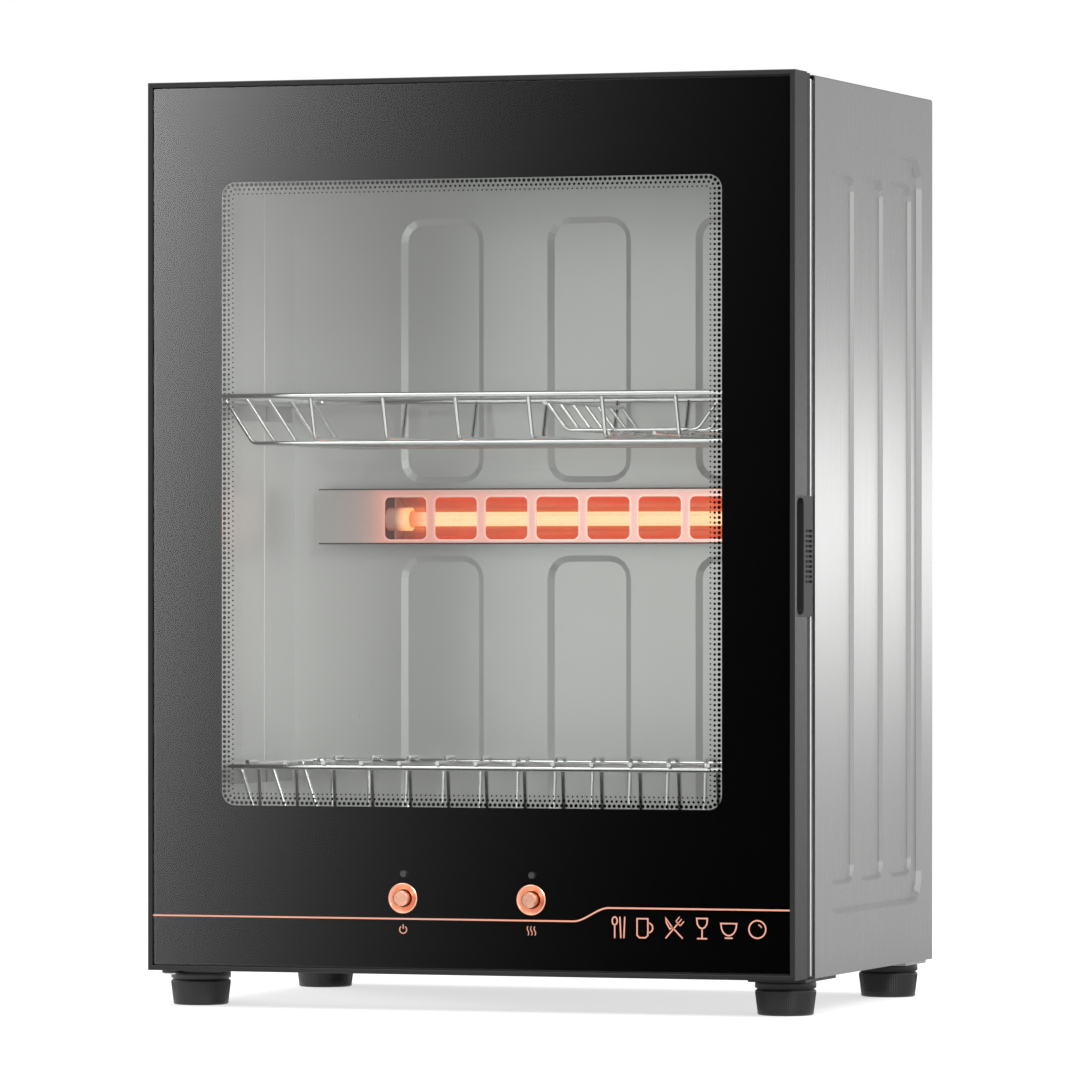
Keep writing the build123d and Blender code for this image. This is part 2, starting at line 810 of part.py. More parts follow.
def lens_holes(radius, y0, y1):
    return fuse_all([stud_y(radius, y0, y1, side * button_x, lens_z) for side in sides])


def make_glass():
    edge = lip_w + glass_gap
    glass = slab(door_w - 2 * edge, door_h - 2 * edge, 1.5, glass_y, glass_y + glass_t,
                 0, door_h / 2)
    glass -= button_holes(barrel_r + hole_clear, glass_y - 1, glass_y + glass_t + 1)
    return glass - lens_holes(lens_r + hole_clear, glass_y - 1, glass_y + glass_t + 1)


def make_print():
    back = glass_y + glass_t + print_gap
    edge = ledge_w + 0.5
    film = slab(door_w - 2 * edge, door_h - 2 * edge, 1.0, back, back + print_t, 0, door_h / 2)
    film -= slab(window_w, window_h, window_r, back - 1, back + 1, 0, window_z)
    film -= button_holes(barrel_r + hole_clear, back - 1, back + 1)
    return film - lens_holes(lens_r + hole_clear, back - 1, back + 1)


def make_tray():
    w = door_w - 2 * tray_inset
    h = door_h - 2 * tray_inset
    mid = door_h / 2
    front_face = front_plane(0, frame_d, mid) * Rectangle(w, h)
    back_face = front_plane(0, tray_back, mid) * Rectangle(w - 2 * tray_taper, h - 2 * tray_taper)
    tray = loft([front_face.face(), back_face.face()])
    inner_w = w - 2 * (tray_taper + rim_w)
    inner_h = h - 2 * (tray_taper + rim_w)
    tray -= slab(inner_w, inner_h, 4.0, frame_d + tray_plate, tray_back + 1, 0, mid)
    tray -= slab(tray_open_w, tray_open_h, tray_open_r, frame_d - 1, tray_back + 1,
                 0, tray_open_z)
    for side in sides:
        for dz in (-post_dz, post_dz):
            tray += stud_y(post_d / 2, board_y + board_t, frame_d + 1, side * post_x, board_z + dz, 8)
    return tray - leaf_sweep()


def make_inner_glass():
    lap = 2 * inner_glass_lap
    return slab(tray_open_w + lap, tray_open_h + lap, 3.0, frame_d - inner_glass_t, frame_d,
                0, tray_open_z)


def make_gasket():
    w = door_w - 2 * gasket_inset
    h = door_h - 2 * gasket_inset
    ring = slab(w, h, 3.0, tray_back, gasket_back, 0, door_h / 2)
    ring -= slab(w - 2 * gasket_w, h - 2 * gasket_w, 1.0, tray_back - 1, gasket_back + 1,
                 0, door_h / 2)
    return ring


def make_handle_cut():
    """Opening in the right stile for the handle insert, clear of the glass edge."""
    return block(grip_x, half + 1, grip_front, frame_d + 1,
                 handle_z - handle_h / 2, handle_z + handle_h / 2)


def handle_prism(points, height):
    """Upright prism centred on the handle, from points in plan."""
    outline = Plane.XY * make_face(Polyline(*points, close=True))
    return Pos(0, 0, handle_z - height / 2) * extrude(outline, amount=height)


def make_handle():
    """Finger cup behind a slot whose front wall slopes clear of the glass, and louvred plate."""
    fit = 0.1
    cup_y = ledge_y + ledge_t + fit
    cup_x = half - cup_depth
    cup_back = grip_back + cup_t
    height = handle_h - 2 * fit
    edge = half - strip_t
    body = handle_prism([(half, grip_front + fit), (grip_x + fit, grip_front + fit),
                         (grip_x + fit, cup_y), (cup_x, cup_y), (cup_x, cup_back),
                         (edge, cup_back), (edge, strip_back), (half, strip_back)], height)
    back_corners = body.edges().filter_by(Axis.X).group_by(Axis.Y)[-1]
    body = fillet(back_corners, plate_round)
    mouth = grip_front + fit + 1.0
    slope = cup_y + cup_t - mouth
    hollow = handle_prism([(half + 1, mouth), (half - 2.6, mouth), (half - 2.6 - slope, mouth + slope),
                           (cup_x + cup_t, mouth + slope), (cup_x + cup_t, grip_back),
                           (half + 1, grip_back)], height)
    window = extrude(side_plane(cup_x, (mouth + grip_back) / 2, handle_z)
                     * RectangleRounded(grip_back - mouth, handle_h - 2 * cup_t, grip_r),
                     amount=cup_depth + 2)
    body -= hollow & window
    for offset in spaced(louvre_count, louvre_pitch):
        z = handle_z + offset
        body -= block(edge - 1, half + 1, louvre_from, louvre_to, z - louvre_h / 2, z + louvre_h / 2)
    return body


def make_corner_blocks():
    x0 = -half + frame_wall + 0.1
    blocks = []
    for low, high in ((frame_wall + 0.1, frame_wall + block_h),
                      (leaf_low - leaf_clear - block_h, leaf_low - leaf_clear)):
        piece = block(x0, x0 + block_w, block_y, block_y + block_d, low, high)
        blocks.append(piece - bush_hole(low - 1, high + 1))
    return blocks


def make_bushes():
    bore = pin_d / 2 + pin_fit
    flange = bush_flange_d / 2
    low = bush_hole(0, bush_len) + stud_z(flange, -bush_flange_t, 0, pin_x, pin_y)
    low -= rod_z(bore, -5, bush_len + 5, pin_x, pin_y)
    top = leaf_low - leaf_clear
    high = bush_hole(top - bush_len, top)
    high += stud_z(flange, top, top + bush_flange_t, pin_x, pin_y)
    high -= rod_z(bore, top - bush_len - 5, top + 5, pin_x, pin_y)
    return [low, high]


def make_pins():
    low = rod_z(pin_d / 2, bracket_low, bush_len - 1, pin_x, pin_y)
    low += stud_z(pin_d / 2 + 1.5, bracket_low - 1.0, bracket_low, pin_x, pin_y)
    high = rod_z(pin_d / 2, leaf_low - leaf_clear - bush_len + 1, leaf_top, pin_x, pin_y)
    return [low, high]


# ---- buttons ----
def make_bezel_ring(x):
    profile = Polyline((well_r, 1.4), (9.5, -0.4), (bezel_r, 0.0), (bezel_r, glass_y),
                       (barrel_r, glass_y), (barrel_r, barrel_end), (well_r, barrel_end), close=True)
    # the profile is drawn with its own x as the radius and its y as the depth
    face = Plane(origin=(x, 0, button_z), x_dir=(1, 0, 0), z_dir=(0, 0, 1)) * make_face(profile)
    return revolve(face, Axis((x, 0, button_z), (0, 1, 0)), 360)


def make_button(x):
    cap = rod_y(cap_r, cap_front, cap_back, x, button_z)
    cap = chamfer(cap.edges().group_by(Axis.Y)[0], 0.8)
    return cap + rod_y(stem_r, cap_back - 0.5, stem_end, x, button_z)


def make_switches():
    pieces = []
    for side in sides:
        x = side * button_x
        front = barrel_end + 0.3
        body = block(x - switch_size / 2, x + switch_size / 2, front, board_y,
                     button_z - switch_size / 2, button_z + switch_size / 2)
        pieces.append(body - rod_y(stem_r + stem_fit, front - 1, board_y - 1, x, button_z))
    return pieces


def make_lenses():
    return [rod_y(lens_r, glass_y - 0.1, board_y - 0.3, side * button_x, lens_z)
            for side in sides]


# ---- brackets and feet ----
def foot_plate(x, y):
    return block(x - plate_w / 2, x + plate_w / 2, y - foot_r, y + plate_back,
                 bracket_low, bracket_top)


def drilled(plate, x, y):
    return plate - stud_z(screw_r + hole_clear, bracket_low - 1, bracket_top + 1, x, y)


def make_lower_bracket():
    plate = foot_plate(-foot_x, foot_front_y)
    plate += block(pin_x - tongue_w / 2, pin_x + tongue_w / 2, pin_y,
                   foot_front_y, bracket_low, bracket_top)
    plate += rod_z(tongue_w / 2, bracket_low, bracket_top, pin_x, pin_y)
    plate -= rod_z(pin_d / 2, bracket_low - 1, bracket_top + 1, pin_x, pin_y)
    return drilled(plate, -foot_x, foot_front_y)


def make_upper_bracket():
    """Flat leaf under the shell's top, with a tongue that reaches forward into the door."""
    front = body_y + hem_d
    back = front + leaf_reach
    edge = -half + sheet + pan_clear
    leaf = block(edge, edge + plate_w, front, back, leaf_low, leaf_top)
    leaf += block(pin_x - tongue_w / 2, pin_x + tongue_w / 2, pin_y, front + 1, leaf_low, leaf_top)
    leaf += rod_z(tongue_w / 2, leaf_low, leaf_top, pin_x, pin_y)
    return leaf - rod_z(pin_d / 2, leaf_low - 1, leaf_top + 1, pin_x, pin_y)


def make_rear_plates():
    pieces = []
    for side in sides:
        plate = block(side * foot_x - plate_w / 2, side * foot_x + plate_w / 2,
                      foot_back_y - plate_back / 2, foot_back_y + plate_back / 2,
                      bracket_low, bracket_top)
        pieces.append(drilled(plate, side * foot_x, foot_back_y))
    return pieces


def foot_cone(wide, narrow, top, low, x, y):
    """Many-sided slice of a foot that narrows downwards."""
    lean = degrees(atan2(wide - narrow, top - low))
    outline = Pos(x, y, top) * RegularPolygon(wide, foot_sides)
    return extrude(outline, amount=top - low, dir=(0, 0, -1), taper=lean)


def make_foot(x, y):
    """Collar, groove, tapering skirt and cut lower edge, with a recess for the screw."""
    top = bracket_low
    collar_low = top - foot_collar
    skirt_top = collar_low - foot_groove
    edge = foot_low + foot_edge
    foot = Pos(x, y, collar_low) * extrude(RegularPolygon(foot_r - 0.3, foot_sides),
                                           amount=foot_collar)
    foot += Pos(x, y, skirt_top) * extrude(RegularPolygon(foot_r - 1.2, foot_sides),
                                           amount=foot_groove)
    foot += foot_cone(foot_r, foot_low_r, skirt_top, edge, x, y)
    foot += foot_cone(foot_low_r, foot_low_r - foot_edge, edge, foot_low, x, y)
    foot -= stud_z(screw_r + hole_clear, foot_low - 1, top + 1, x, y)
    return foot - stud_z(screw_head_r + 1.0, foot_low - 1, top - foot_seat, x, y)


def make_foot_screws():
    pieces = []
    for x, y in foot_spots():
        seat = bracket_low - foot_seat
        screw = stud_z(screw_head_r, seat - 3.0, seat, x, y, 8)
        end = bottom_out + sheet + 4.0 if y == foot_back_y else bracket_top
        pieces.append(screw + stud_z(screw_r, seat - 0.5, end, x, y, 8))
    return pieces


def make_cover_screws():
    face = flange_y + 2 * sheet
    pieces = []
    for x, z in cover_screw_spots():
        head = stud_y(cover_head_r, face, face + cover_head_h, x, z)
        pieces.append(head + stud_y(cover_screw_r, face - 5.0, face + 0.5, x, z, 8))
    return pieces


# ---- write every piece ----
os.makedirs("parts", exist_ok=True)

keep("outer_shell", make_shell())
keep("back_cover", make_back_cover())
keep("base_pan", make_base_pan())
keep("front_bezel", make_bezel())
keep("inner_liner", make_liner())
keep("liner_back", make_liner_back())
keep("upper_rack_rails", *make_rails(upper_z))
keep("lower_rack_rails", *make_rails(lower_z))
keep("heater_cover", make_heater_cover())
keep("heater_reflector", make_trough())
keep("quartz_tube", make_tube())
keep("heater_coil", rod_x(core_d / 2, -tube_len / 2 - 0.2, tube_len / 2 + 0.2, tube_y, tube_z))
keep("heater_end_caps", *make_caps())
keep("heater_clips", *make_clips())
keep("thermostat", make_thermostat())
keep("thermal_fuse", make_fuse())
keep("terminal_block", make_terminals())
keep("cord_gland", make_gland())
keep("door_sensor", make_door_sensor())
keep("hinge_bracket_lower", make_lower_bracket())
keep("hinge_bracket_upper", make_upper_bracket())
keep("foot_bracket_right", drilled(foot_plate(foot_x, foot_front_y), foot_x, foot_front_y))
keep("foot_plates_rear", *make_rear_plates())
keep("hinge_pins", *make_pins())
for (spot_x, spot_y), name in zip(foot_spots(), ("foot_front_left", "foot_front_right",
                                                 "foot_rear_left", "foot_rear_right")):
    keep(name, make_foot(spot_x, spot_y))
keep("foot_screws", *make_foot_screws())
keep("back_cover_screws", *make_cover_screws())

sweep_room = leaf_sweep()
keep("door_frame_top", rail(True) - block(-half, pin_x + 7, frame_d - 3, frame_d + 1,
                                          leaf_low - leaf_clear, leaf_top + 0.15))
keep("door_frame_bottom", rail(False) - bush_hole(-1, frame_wall + 1))
keep("door_frame_hinge_stile", stile(-1) - sweep_room)
keep("door_frame_handle_stile", stile(1) - make_handle_cut())
keep("door_glass", make_glass())
keep("glass_print", make_print())
keep("door_tray", make_tray())
keep("inner_glass", make_inner_glass())
keep("door_gasket", make_gasket())
keep("handle_insert", make_handle())
keep("door_corner_blocks", *make_corner_blocks())
keep("hinge_bushes", *make_bushes())
keep("power_bezel", make_bezel_ring(-button_x))
keep("sterilise_bezel", make_bezel_ring(button_x))
keep("indicator_lenses", *make_lenses())
keep("switch_bodies", *make_switches())
keep("control_board", block(-board_w / 2, board_w / 2, board_y, board_y + board_t,
                            board_z - board_h / 2, board_z + board_h / 2))
keep("power_button", make_button(-button_x))
keep("sterilise_button", make_button(button_x))
keep("upper_rack", make_upper_rack())
keep("lower_rack", make_lower_rack())
keep("chopstick_basket", make_basket())

print("nodes", len(written))
print("y shift %.3f mm, z shift %.3f mm" % (-y_middle, -foot_low))
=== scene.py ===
import json
from math import cos, pi, radians, sin

import bmesh
import bpy
from mathutils import Matrix, Vector

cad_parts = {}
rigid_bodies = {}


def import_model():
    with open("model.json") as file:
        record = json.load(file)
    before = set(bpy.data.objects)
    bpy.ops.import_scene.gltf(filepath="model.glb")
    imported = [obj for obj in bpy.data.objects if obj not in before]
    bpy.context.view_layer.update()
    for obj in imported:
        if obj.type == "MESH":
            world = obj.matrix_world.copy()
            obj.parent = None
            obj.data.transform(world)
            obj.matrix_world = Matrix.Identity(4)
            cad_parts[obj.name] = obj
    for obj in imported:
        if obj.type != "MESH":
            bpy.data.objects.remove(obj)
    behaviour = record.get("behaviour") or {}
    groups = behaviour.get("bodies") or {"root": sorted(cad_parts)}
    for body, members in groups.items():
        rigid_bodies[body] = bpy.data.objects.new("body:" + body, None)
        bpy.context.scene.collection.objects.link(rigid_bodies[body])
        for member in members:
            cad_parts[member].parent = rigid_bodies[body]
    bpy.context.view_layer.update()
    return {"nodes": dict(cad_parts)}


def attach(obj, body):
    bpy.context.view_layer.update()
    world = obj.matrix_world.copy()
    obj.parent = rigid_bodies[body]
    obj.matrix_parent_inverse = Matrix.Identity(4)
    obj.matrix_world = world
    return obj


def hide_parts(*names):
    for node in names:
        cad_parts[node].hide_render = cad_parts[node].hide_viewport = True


# The cabinet stands on the floor with its door facing -Y. Lengths below are millimetres, with y
# counted back from the door's front lip and z up from the door's bottom edge, until place() turns
# them into metres in the frame.

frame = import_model()

DOOR_MIDDLE_Y = 163.25
FOOT_HEIGHT = 25.0
DOOR_HALF = 228.5
DOOR_HEIGHT = 600.0

WINDOW_WIDTH, WINDOW_HEIGHT = 353.5, 420.3
WINDOW_Z, WINDOW_ROUND = 322.0, 9.5
GLASS_BACK_Y = 4.9

BUTTON_X, BUTTON_Z = 45.3, 51.0

RIM_WIRE, RACK_WIRE, BASKET_WIRE = 4.0, 3.0, 2.5
RACK_HALF, RACK_FRONT, RACK_BACK, RACK_CORNER = 198.0, 50.0, 246.0, 8.0
UPPER_RIM_Z, UPPER_FLOOR_Z = 389.0, 357.0
LOWER_RIM_Z, LOWER_FLOOR_Z, LOWER_FRONT = 136.8, 96.0, 60.0

HEATER_Y, HEATER_Z = 262.0, 306.6
HEATER_LENGTH = 272.0
PANES, PANE_PITCH, PANE_WIDTH, PANE_HEIGHT = 8, 37.5, 31.0, 29.7
PANE_Z, PANE_ROUND = 307.2, 4.0
COVER_HALF, COVER_LOW, COVER_HIGH, COVER_FRONT, COVER_BACK = 196.4, 289.0, 328.0, 246.0, 260.0

FOOT_X, FOOT_YS = 208.0, (47.0, 292.0)


def place(x, y, z):
    """A point of the cabinet's own millimetres, in metres in the frame."""
    return Vector((x, y - DOOR_MIDDLE_Y, z + FOOT_HEIGHT)) / 1000


def spread(count, pitch):
    """Evenly spaced offsets on both sides of zero."""
    return [(k - (count - 1) / 2) * pitch for k in range(count)]


# ---------------------------------------------------------------- finishes
class Signal:
    """A number or colour on a socket. Sums on numbers add Math nodes to the finish."""

    def __init__(self, finish, socket):
        self.finish = finish
        self.socket = socket

    def __add__(self, other):
        return self.finish.maths("ADD", self, other)

    def __radd__(self, other):
        return self.finish.maths("ADD", other, self)

    def __sub__(self, other):
        return self.finish.maths("SUBTRACT", self, other)

    def __rsub__(self, other):
        return self.finish.maths("SUBTRACT", other, self)

    def __mul__(self, other):
        return self.finish.maths("MULTIPLY", self, other)

    def __rmul__(self, other):
        return self.finish.maths("MULTIPLY", other, self)

    def __truediv__(self, other):
        return self.finish.maths("DIVIDE", self, other)

    def __rtruediv__(self, other):
        return self.finish.maths("DIVIDE", other, self)

    def __pow__(self, other):
        return self.finish.maths("POWER", self, other)

    def __abs__(self):
        return self.finish.maths("ABSOLUTE", self)

    def at_least(self, low):
        return self.finish.maths("MAXIMUM", self, low)

    def at_most(self, high):
        return self.finish.maths("MINIMUM", self, high)

    def share(self):
        """This number held between nought and one."""
        return self.at_most(1.0).at_least(0.0)

    def sine(self):
        return self.finish.maths("SINE", self)

    def fade(self):
        """One at nought, and less and less as this number grows."""
        return self.finish.maths("EXPONENT", self * -1.0)


class Finish:
    """One material: a tree of nodes that ends in one surface."""

    def __init__(self, name, owner=None):
        self.material = owner or bpy.data.materials.new(name)
        self.material.use_nodes = True
        self.tree = self.material.node_tree
        self.tree.nodes.clear()
        self.point = self.add("ShaderNodeTexCoord", output="Object")

    def add(self, kind, settings=None, sockets=None, output=0):
        """A node of any type: its settings first, then its sockets, as values or links."""
        node = self.tree.nodes.new(kind)
        for name, value in (settings or {}).items():
            if name == "stops":
                stops = node.color_ramp.elements
                while len(stops) < len(value):
                    stops.new(1.0)
                for stop, (position, colour) in zip(stops, value):
                    stop.position = position
                    stop.color = colour
            else:
                setattr(node, name, value)
        for key, value in (sockets or {}).items():
            if isinstance(value, Signal):
                self.tree.links.new(value.socket, node.inputs[key])
            else:
                node.inputs[key].default_value = value
        return Signal(self, node.outputs[output])

    def maths(self, operation, *values):
        return self.add("ShaderNodeMath", {"operation": operation}, dict(enumerate(values)))

    def axis(self, name):
        return self.add("ShaderNodeSeparateXYZ", sockets={0: self.point}, output=name)

    def noise(self, scale, detail=2.0, roughness=0.5):
        """Cloudy noise. Scale is its features per metre along x, y and z."""
        stretched = self.add("ShaderNodeMapping", sockets={"Vector": self.point, "Scale": scale})
        return self.add("ShaderNodeTexNoise", sockets={"Vector": stretched, "Scale": 1.0,
                                                       "Detail": detail, "Roughness": roughness})

    def blend(self, factor, first, second):
        return self.add("ShaderNodeMix", {"data_type": "RGBA"}, {0: factor, 6: first, 7: second},
                        output=2)

    def bump(self, height, strength, distance):
        return self.add("ShaderNodeBump", sockets={"Height": height, "Strength": strength,
                                                   "Distance": distance})

    def surface(self, sockets):
        self.show(self.add("ShaderNodeBsdfPrincipled", sockets=sockets))

    def show(self, shader, end="ShaderNodeOutputMaterial"):
        self.tree.links.new(shader.socket, self.tree.nodes.new(end).inputs["Surface"])


def grey(value, warm=0.0):
    return (value * (1 + warm), value, value * (1 - warm), 1.0)


def brushed_metal(name, dark, light, roughness, lines, fine=0.0004, strength=0.12, drawn=0.0,
                  metallic=1.0):
    """Metal with fine lines: each of the three scales says how often the lines change that way."""
    finish = Finish(name)
    hair = finish.noise(lines, detail=3.0, roughness=0.65)
    cloud = finish.noise((5, 5, 5), detail=2.0)
    finish.surface({
        "Base Color": finish.blend(hair * 0.7 + cloud * 0.3, dark, light),
        "Metallic": metallic,
        "Roughness": hair * 0.16 + cloud * 0.06 + (roughness - 0.11),
        "Anisotropic": drawn,
        "Normal": finish.bump(hair, strength, fine),
    })
    return finish.material


def plated_metal(name, dark, light, roughness, grain=900.0, strength=0.05):
    """Plated or polished metal with faint clouds and small pits."""
    finish = Finish(name)
    cloud = finish.noise((60, 60, 60), detail=3.0)
    pits = finish.noise((grain, grain, grain), detail=1.0)
    finish.surface({
        "Base Color": finish.blend(cloud, dark, light),
        "Metallic": 1.0,
        "Roughness": roughness + cloud * 0.08,
        "Normal": finish.bump(pits, strength, 0.0002),
    })
    return finish.material


def moulded_plastic(name, dark, light, roughness, grain=1600.0, strength=0.15, coat=0.0):
    """Plastic or paint with a moulded grain and a slow drift of colour."""
    finish = Finish(name)
    grains = finish.noise((grain, grain, grain), detail=2.0, roughness=0.6)
    drift = finish.noise((14, 14, 14), detail=2.0)
    finish.surface({
        "Base Color": finish.blend(drift * 0.6 + grains * 0.4, dark, light),
        "Roughness": roughness + drift * 0.08 + grains * 0.06,
        "Coat Weight": coat,
        "Normal": finish.bump(grains, strength, 0.0003),
    })
    return finish.material


def clear_glass(name, tint, roughness=0.015):
    """Sheet glass: only its front-facing skin mirrors, the rest of the light goes straight in."""
    finish = Finish(name)
    smear = finish.noise((9, 9, 4), detail=3.0)
    away = finish.add("ShaderNodeNewGeometry", output="Backfacing")
    mirror = finish.add("ShaderNodeFresnel", sockets={"IOR": 1.5}) * (1 - away)
    mirror = mirror * (0.97 + smear * 0.06)
    through = finish.add("ShaderNodeBsdfTransparent", sockets={"Color": tint})
    gloss = finish.add("ShaderNodeBsdfAnisotropic", sockets={"Color": grey(1.0),
                                                             "Roughness": roughness})
    finish.show(finish.add("ShaderNodeMixShader", sockets={0: mirror, 1: through, 2: gloss}))
    return finish.material


def back_printed_film(name):
    """Black film fused to the back of the glass, so it has no shine of its own."""
    finish = Finish(name)
    grain = finish.noise((700, 700, 700), detail=2.0)
    finish.surface({
        "Base Color": finish.blend(grain, grey(0.0008), grey(0.0018)),
        "Roughness": 0.5 + grain * 0.1,
        "Specular IOR Level": 0.0,
        "Normal": finish.bump(grain, 0.03, 0.0001),
    })
    return finish.material


def cover_steel_with_painted_light(name):
    """Satin steel with a painted highlight as a pale edge round each pressed window, painted shadow
    as dark bands along the folded edges, and a painted orange glow round the row of windows.
    """
    rim_out, rim_sharpness, painted_cover_glow_reach, painted_shadow_width = 0.0006, 3.0e6, 85.0, 0.0011
    finish = Finish(name)
    hair = finish.noise((60, 60, 900), detail=3.0)
    x, z = finish.axis("X"), finish.axis("Z")
    pitch, corner = PANE_PITCH / 1000, PANE_ROUND / 1000
    # How far a point lies outside the nearest window, as if windows ran on past both ends.
    level = abs(z - (PANE_Z + FOOT_HEIGHT) / 1000)
    local = abs(finish.maths("MODULO", x + pitch * 40, pitch) - pitch / 2)
    out_x = (local - (PANE_WIDTH / 2000 - corner)).at_least(0.0)
    out_z = (level - (PANE_HEIGHT / 2000 - corner)).at_least(0.0)
    from_rim = (out_x * out_x + out_z * out_z) ** 0.5 - corner - rim_out
    # Painted highlight: a pale ring along the pressed rim round each window stands in for light
    # caught on that edge.
    pressed = (from_rim * from_rim * rim_sharpness).fade()
    # How far it lies outside the whole row of windows.
    beside = (abs(x) - (PANE_PITCH * (PANES - 1) + PANE_WIDTH) / 2000).at_least(0.0)
    above = (level - PANE_HEIGHT / 2000).at_least(0.0)
    pressed = pressed * (beside * -900.0 + 1.0).at_least(0.0)
    # Painted glow: orange light of the heater, painted onto the cover and fading away from the row
    # of windows.
    painted_cover_glow = ((beside * beside + above * above) ** 0.5 * painted_cover_glow_reach).fade()
    # Painted shadow: a dark band along the top and bottom edges, where the sheet folds back, stands
    # in for the shade in the gap there.
    middle = abs(z - (COVER_LOW + COVER_HIGH) / 2000 - FOOT_HEIGHT / 1000)
    folded = ((middle - ((COVER_HIGH - COVER_LOW) / 2000 - painted_shadow_width)) * 4000.0).share()
    steel = finish.blend(hair, grey(0.62, 0.01), grey(0.72, 0.01))
    steel = finish.blend(pressed, steel, grey(0.95))
    finish.surface({
        "Base Color": finish.blend(folded, steel, (0.07, 0.045, 0.04, 1.0)),
        "Metallic": 1.0,
        "Roughness": 0.36 + hair * 0.1,
        # The cover gives off the painted orange glow itself, except on the painted shadow bands.
        "Emission Color": finish.blend(painted_cover_glow * (1 - folded), (0.0, 0.0, 0.0, 1.0),
                                       (1.0, 0.2, 0.08, 1.0)),
        "Emission Strength": 0.55,
        "Normal": finish.bump(hair, 0.05, 0.0003),
    })
    return finish.material


def hot_part(finish, reach, steepness):
    """One over the hot length of the heater, falling to nought at reach metres from its middle."""
    return ((reach - abs(finish.axis("X"))) * steepness).share()


def reflector_with_painted_glow(name):
    """Bright trough with a painted orange-red glow behind the tube, standing in for the tube's
    light, and fading towards its two ends.
    """
    finish = Finish(name)
    lines = finish.noise((12, 700, 700), detail=3.0)
    # Painted glow: where the trough gives off orange light of its own.
    warm = hot_part(finish, 0.147, 40.0)
    finish.surface({
        "Base Color": finish.blend(lines, (0.52, 0.33, 0.26, 1.0), (0.62, 0.42, 0.34, 1.0)),
        "Metallic": 1.0,
        "Roughness": 0.2 + lines * 0.1,
        "Emission Color": finish.blend(warm, (0.06, 0.008, 0.003, 1.0), (1.0, 0.09, 0.02, 1.0)),
        "Emission Strength": 0.34,
        "Normal": finish.bump(lines, 0.06, 0.0003),
    })
    return finish.material


def glowing_wire(name):
    """White-orange hot resistance wire that cools towards its two ends."""
    finish = Finish(name)
    hot = hot_part(finish, 0.134, 60.0)
    flicker = finish.noise((700, 90, 90), detail=2.0)
    bright = finish.blend(flicker, (1.0, 0.80, 0.50, 1.0), (1.0, 0.92, 0.68, 1.0))
    finish.surface({
        "Base Color": finish.blend(flicker, (0.25, 0.07, 0.03, 1.0), (0.32, 0.1, 0.04, 1.0)),
        "Roughness": 0.55 + flicker * 0.1,
        "Emission Color": finish.blend(hot, (0.5, 0.06, 0.01, 1.0), bright),
        "Emission Strength": 1.6,
    })
    return finish.material


def quartz_with_painted_glow(name):
    """Quartz wall: clear, with a painted orange glow in it that stands in for the winding's light.
    """
    finish = Finish(name)
    bubbles = finish.noise((300, 900, 900), detail=2.0)
    away = finish.add("ShaderNodeNewGeometry", output="Backfacing")
    clear = finish.add("ShaderNodeBsdfTransparent", sockets={"Color": (1.0, 0.93, 0.88, 1.0)})
    # Painted glow: the glass itself gives off orange light.
    glow = finish.add("ShaderNodeEmission", sockets={"Color": (1.0, 0.19, 0.01, 1.0),
                                                     "Strength": 1.0})
    wall = finish.add("ShaderNodeMixShader", sockets={0: 0.18 + bubbles * 0.08, 1: clear, 2: glow})
    gloss = finish.add("ShaderNodeBsdfAnisotropic", sockets={"Color": grey(1.0),
                                                             "Roughness": 0.08})
    mirror = finish.add("ShaderNodeFresnel", sockets={"IOR": 1.45}) * (1 - away)
    finish.show(finish.add("ShaderNodeMixShader", sockets={0: mirror, 1: wall, 2: gloss}))
    return finish.material


def ceramic_with_painted_glow(name):
    """Ceramic with a painted orange glow towards the middle of the heater, standing in for the hot
    winding's light.
    """
    finish = Finish(name)
    grain = finish.noise((500, 500, 500), detail=2.0)
    # Painted glow: the ceramic gives off orange light of its own near the heater's middle.
    near = hot_part(finish, 0.1425, 140.0)
    finish.surface({
        "Base Color": finish.blend(grain, grey(0.42, 0.05), grey(0.52, 0.05)),
        "Roughness": 0.4 + grain * 0.1,
        "Emission Color": finish.blend(near, (0.10, 0.012, 0.004, 1.0), (1.0, 0.42, 0.13, 1.0)),
        "Emission Strength": 1.1,
        "Normal": finish.bump(grain, 0.08, 0.0002),
    })
    return finish.material


def spun_metal(name, dark, light, roughness, centres):
    """Metal turned on a lathe: fine rings round each centre line that runs front to back."""
    finish = Finish(name)
    near = None
    for x, z in centres:
        dx = finish.axis("X") - x
        dz = finish.axis("Z") - z
        reach = (dx * dx + dz * dz) ** 0.5
        near = reach if near is None else near.at_most(reach)
    rings = (near * 9000.0).sine() * 0.5 + 0.5
    cloud = finish.noise((90, 90, 90), detail=2.0)
    finish.surface({
        "Base Color": finish.blend(rings * 0.5 + cloud * 0.5, dark, light),
        "Metallic": 1.0,
        "Roughness": roughness + rings * 0.05 + cloud * 0.05,
        "Normal": finish.bump(rings, 0.12, 0.0002),
    })
    return finish.material


def circuit_board(name):
    """Green solder mask over faint copper tracks."""
    finish = Finish(name)
    tracks = finish.noise((40, 40, 420), detail=0.0)
    mask = (tracks * 60.0 - 30.0).share()
    finish.surface({
        "Base Color": finish.blend(mask, (0.01, 0.09, 0.03, 1.0), (0.02, 0.16, 0.06, 1.0)),
        "Roughness": 0.35 + mask * 0.1,
        "Normal": finish.bump(mask, 0.3, 0.0001),
    })
    return finish.material


BUTTON_CENTRES = [(x / 1000, (BUTTON_Z + FOOT_HEIGHT) / 1000) for x in (-BUTTON_X, BUTTON_X)]

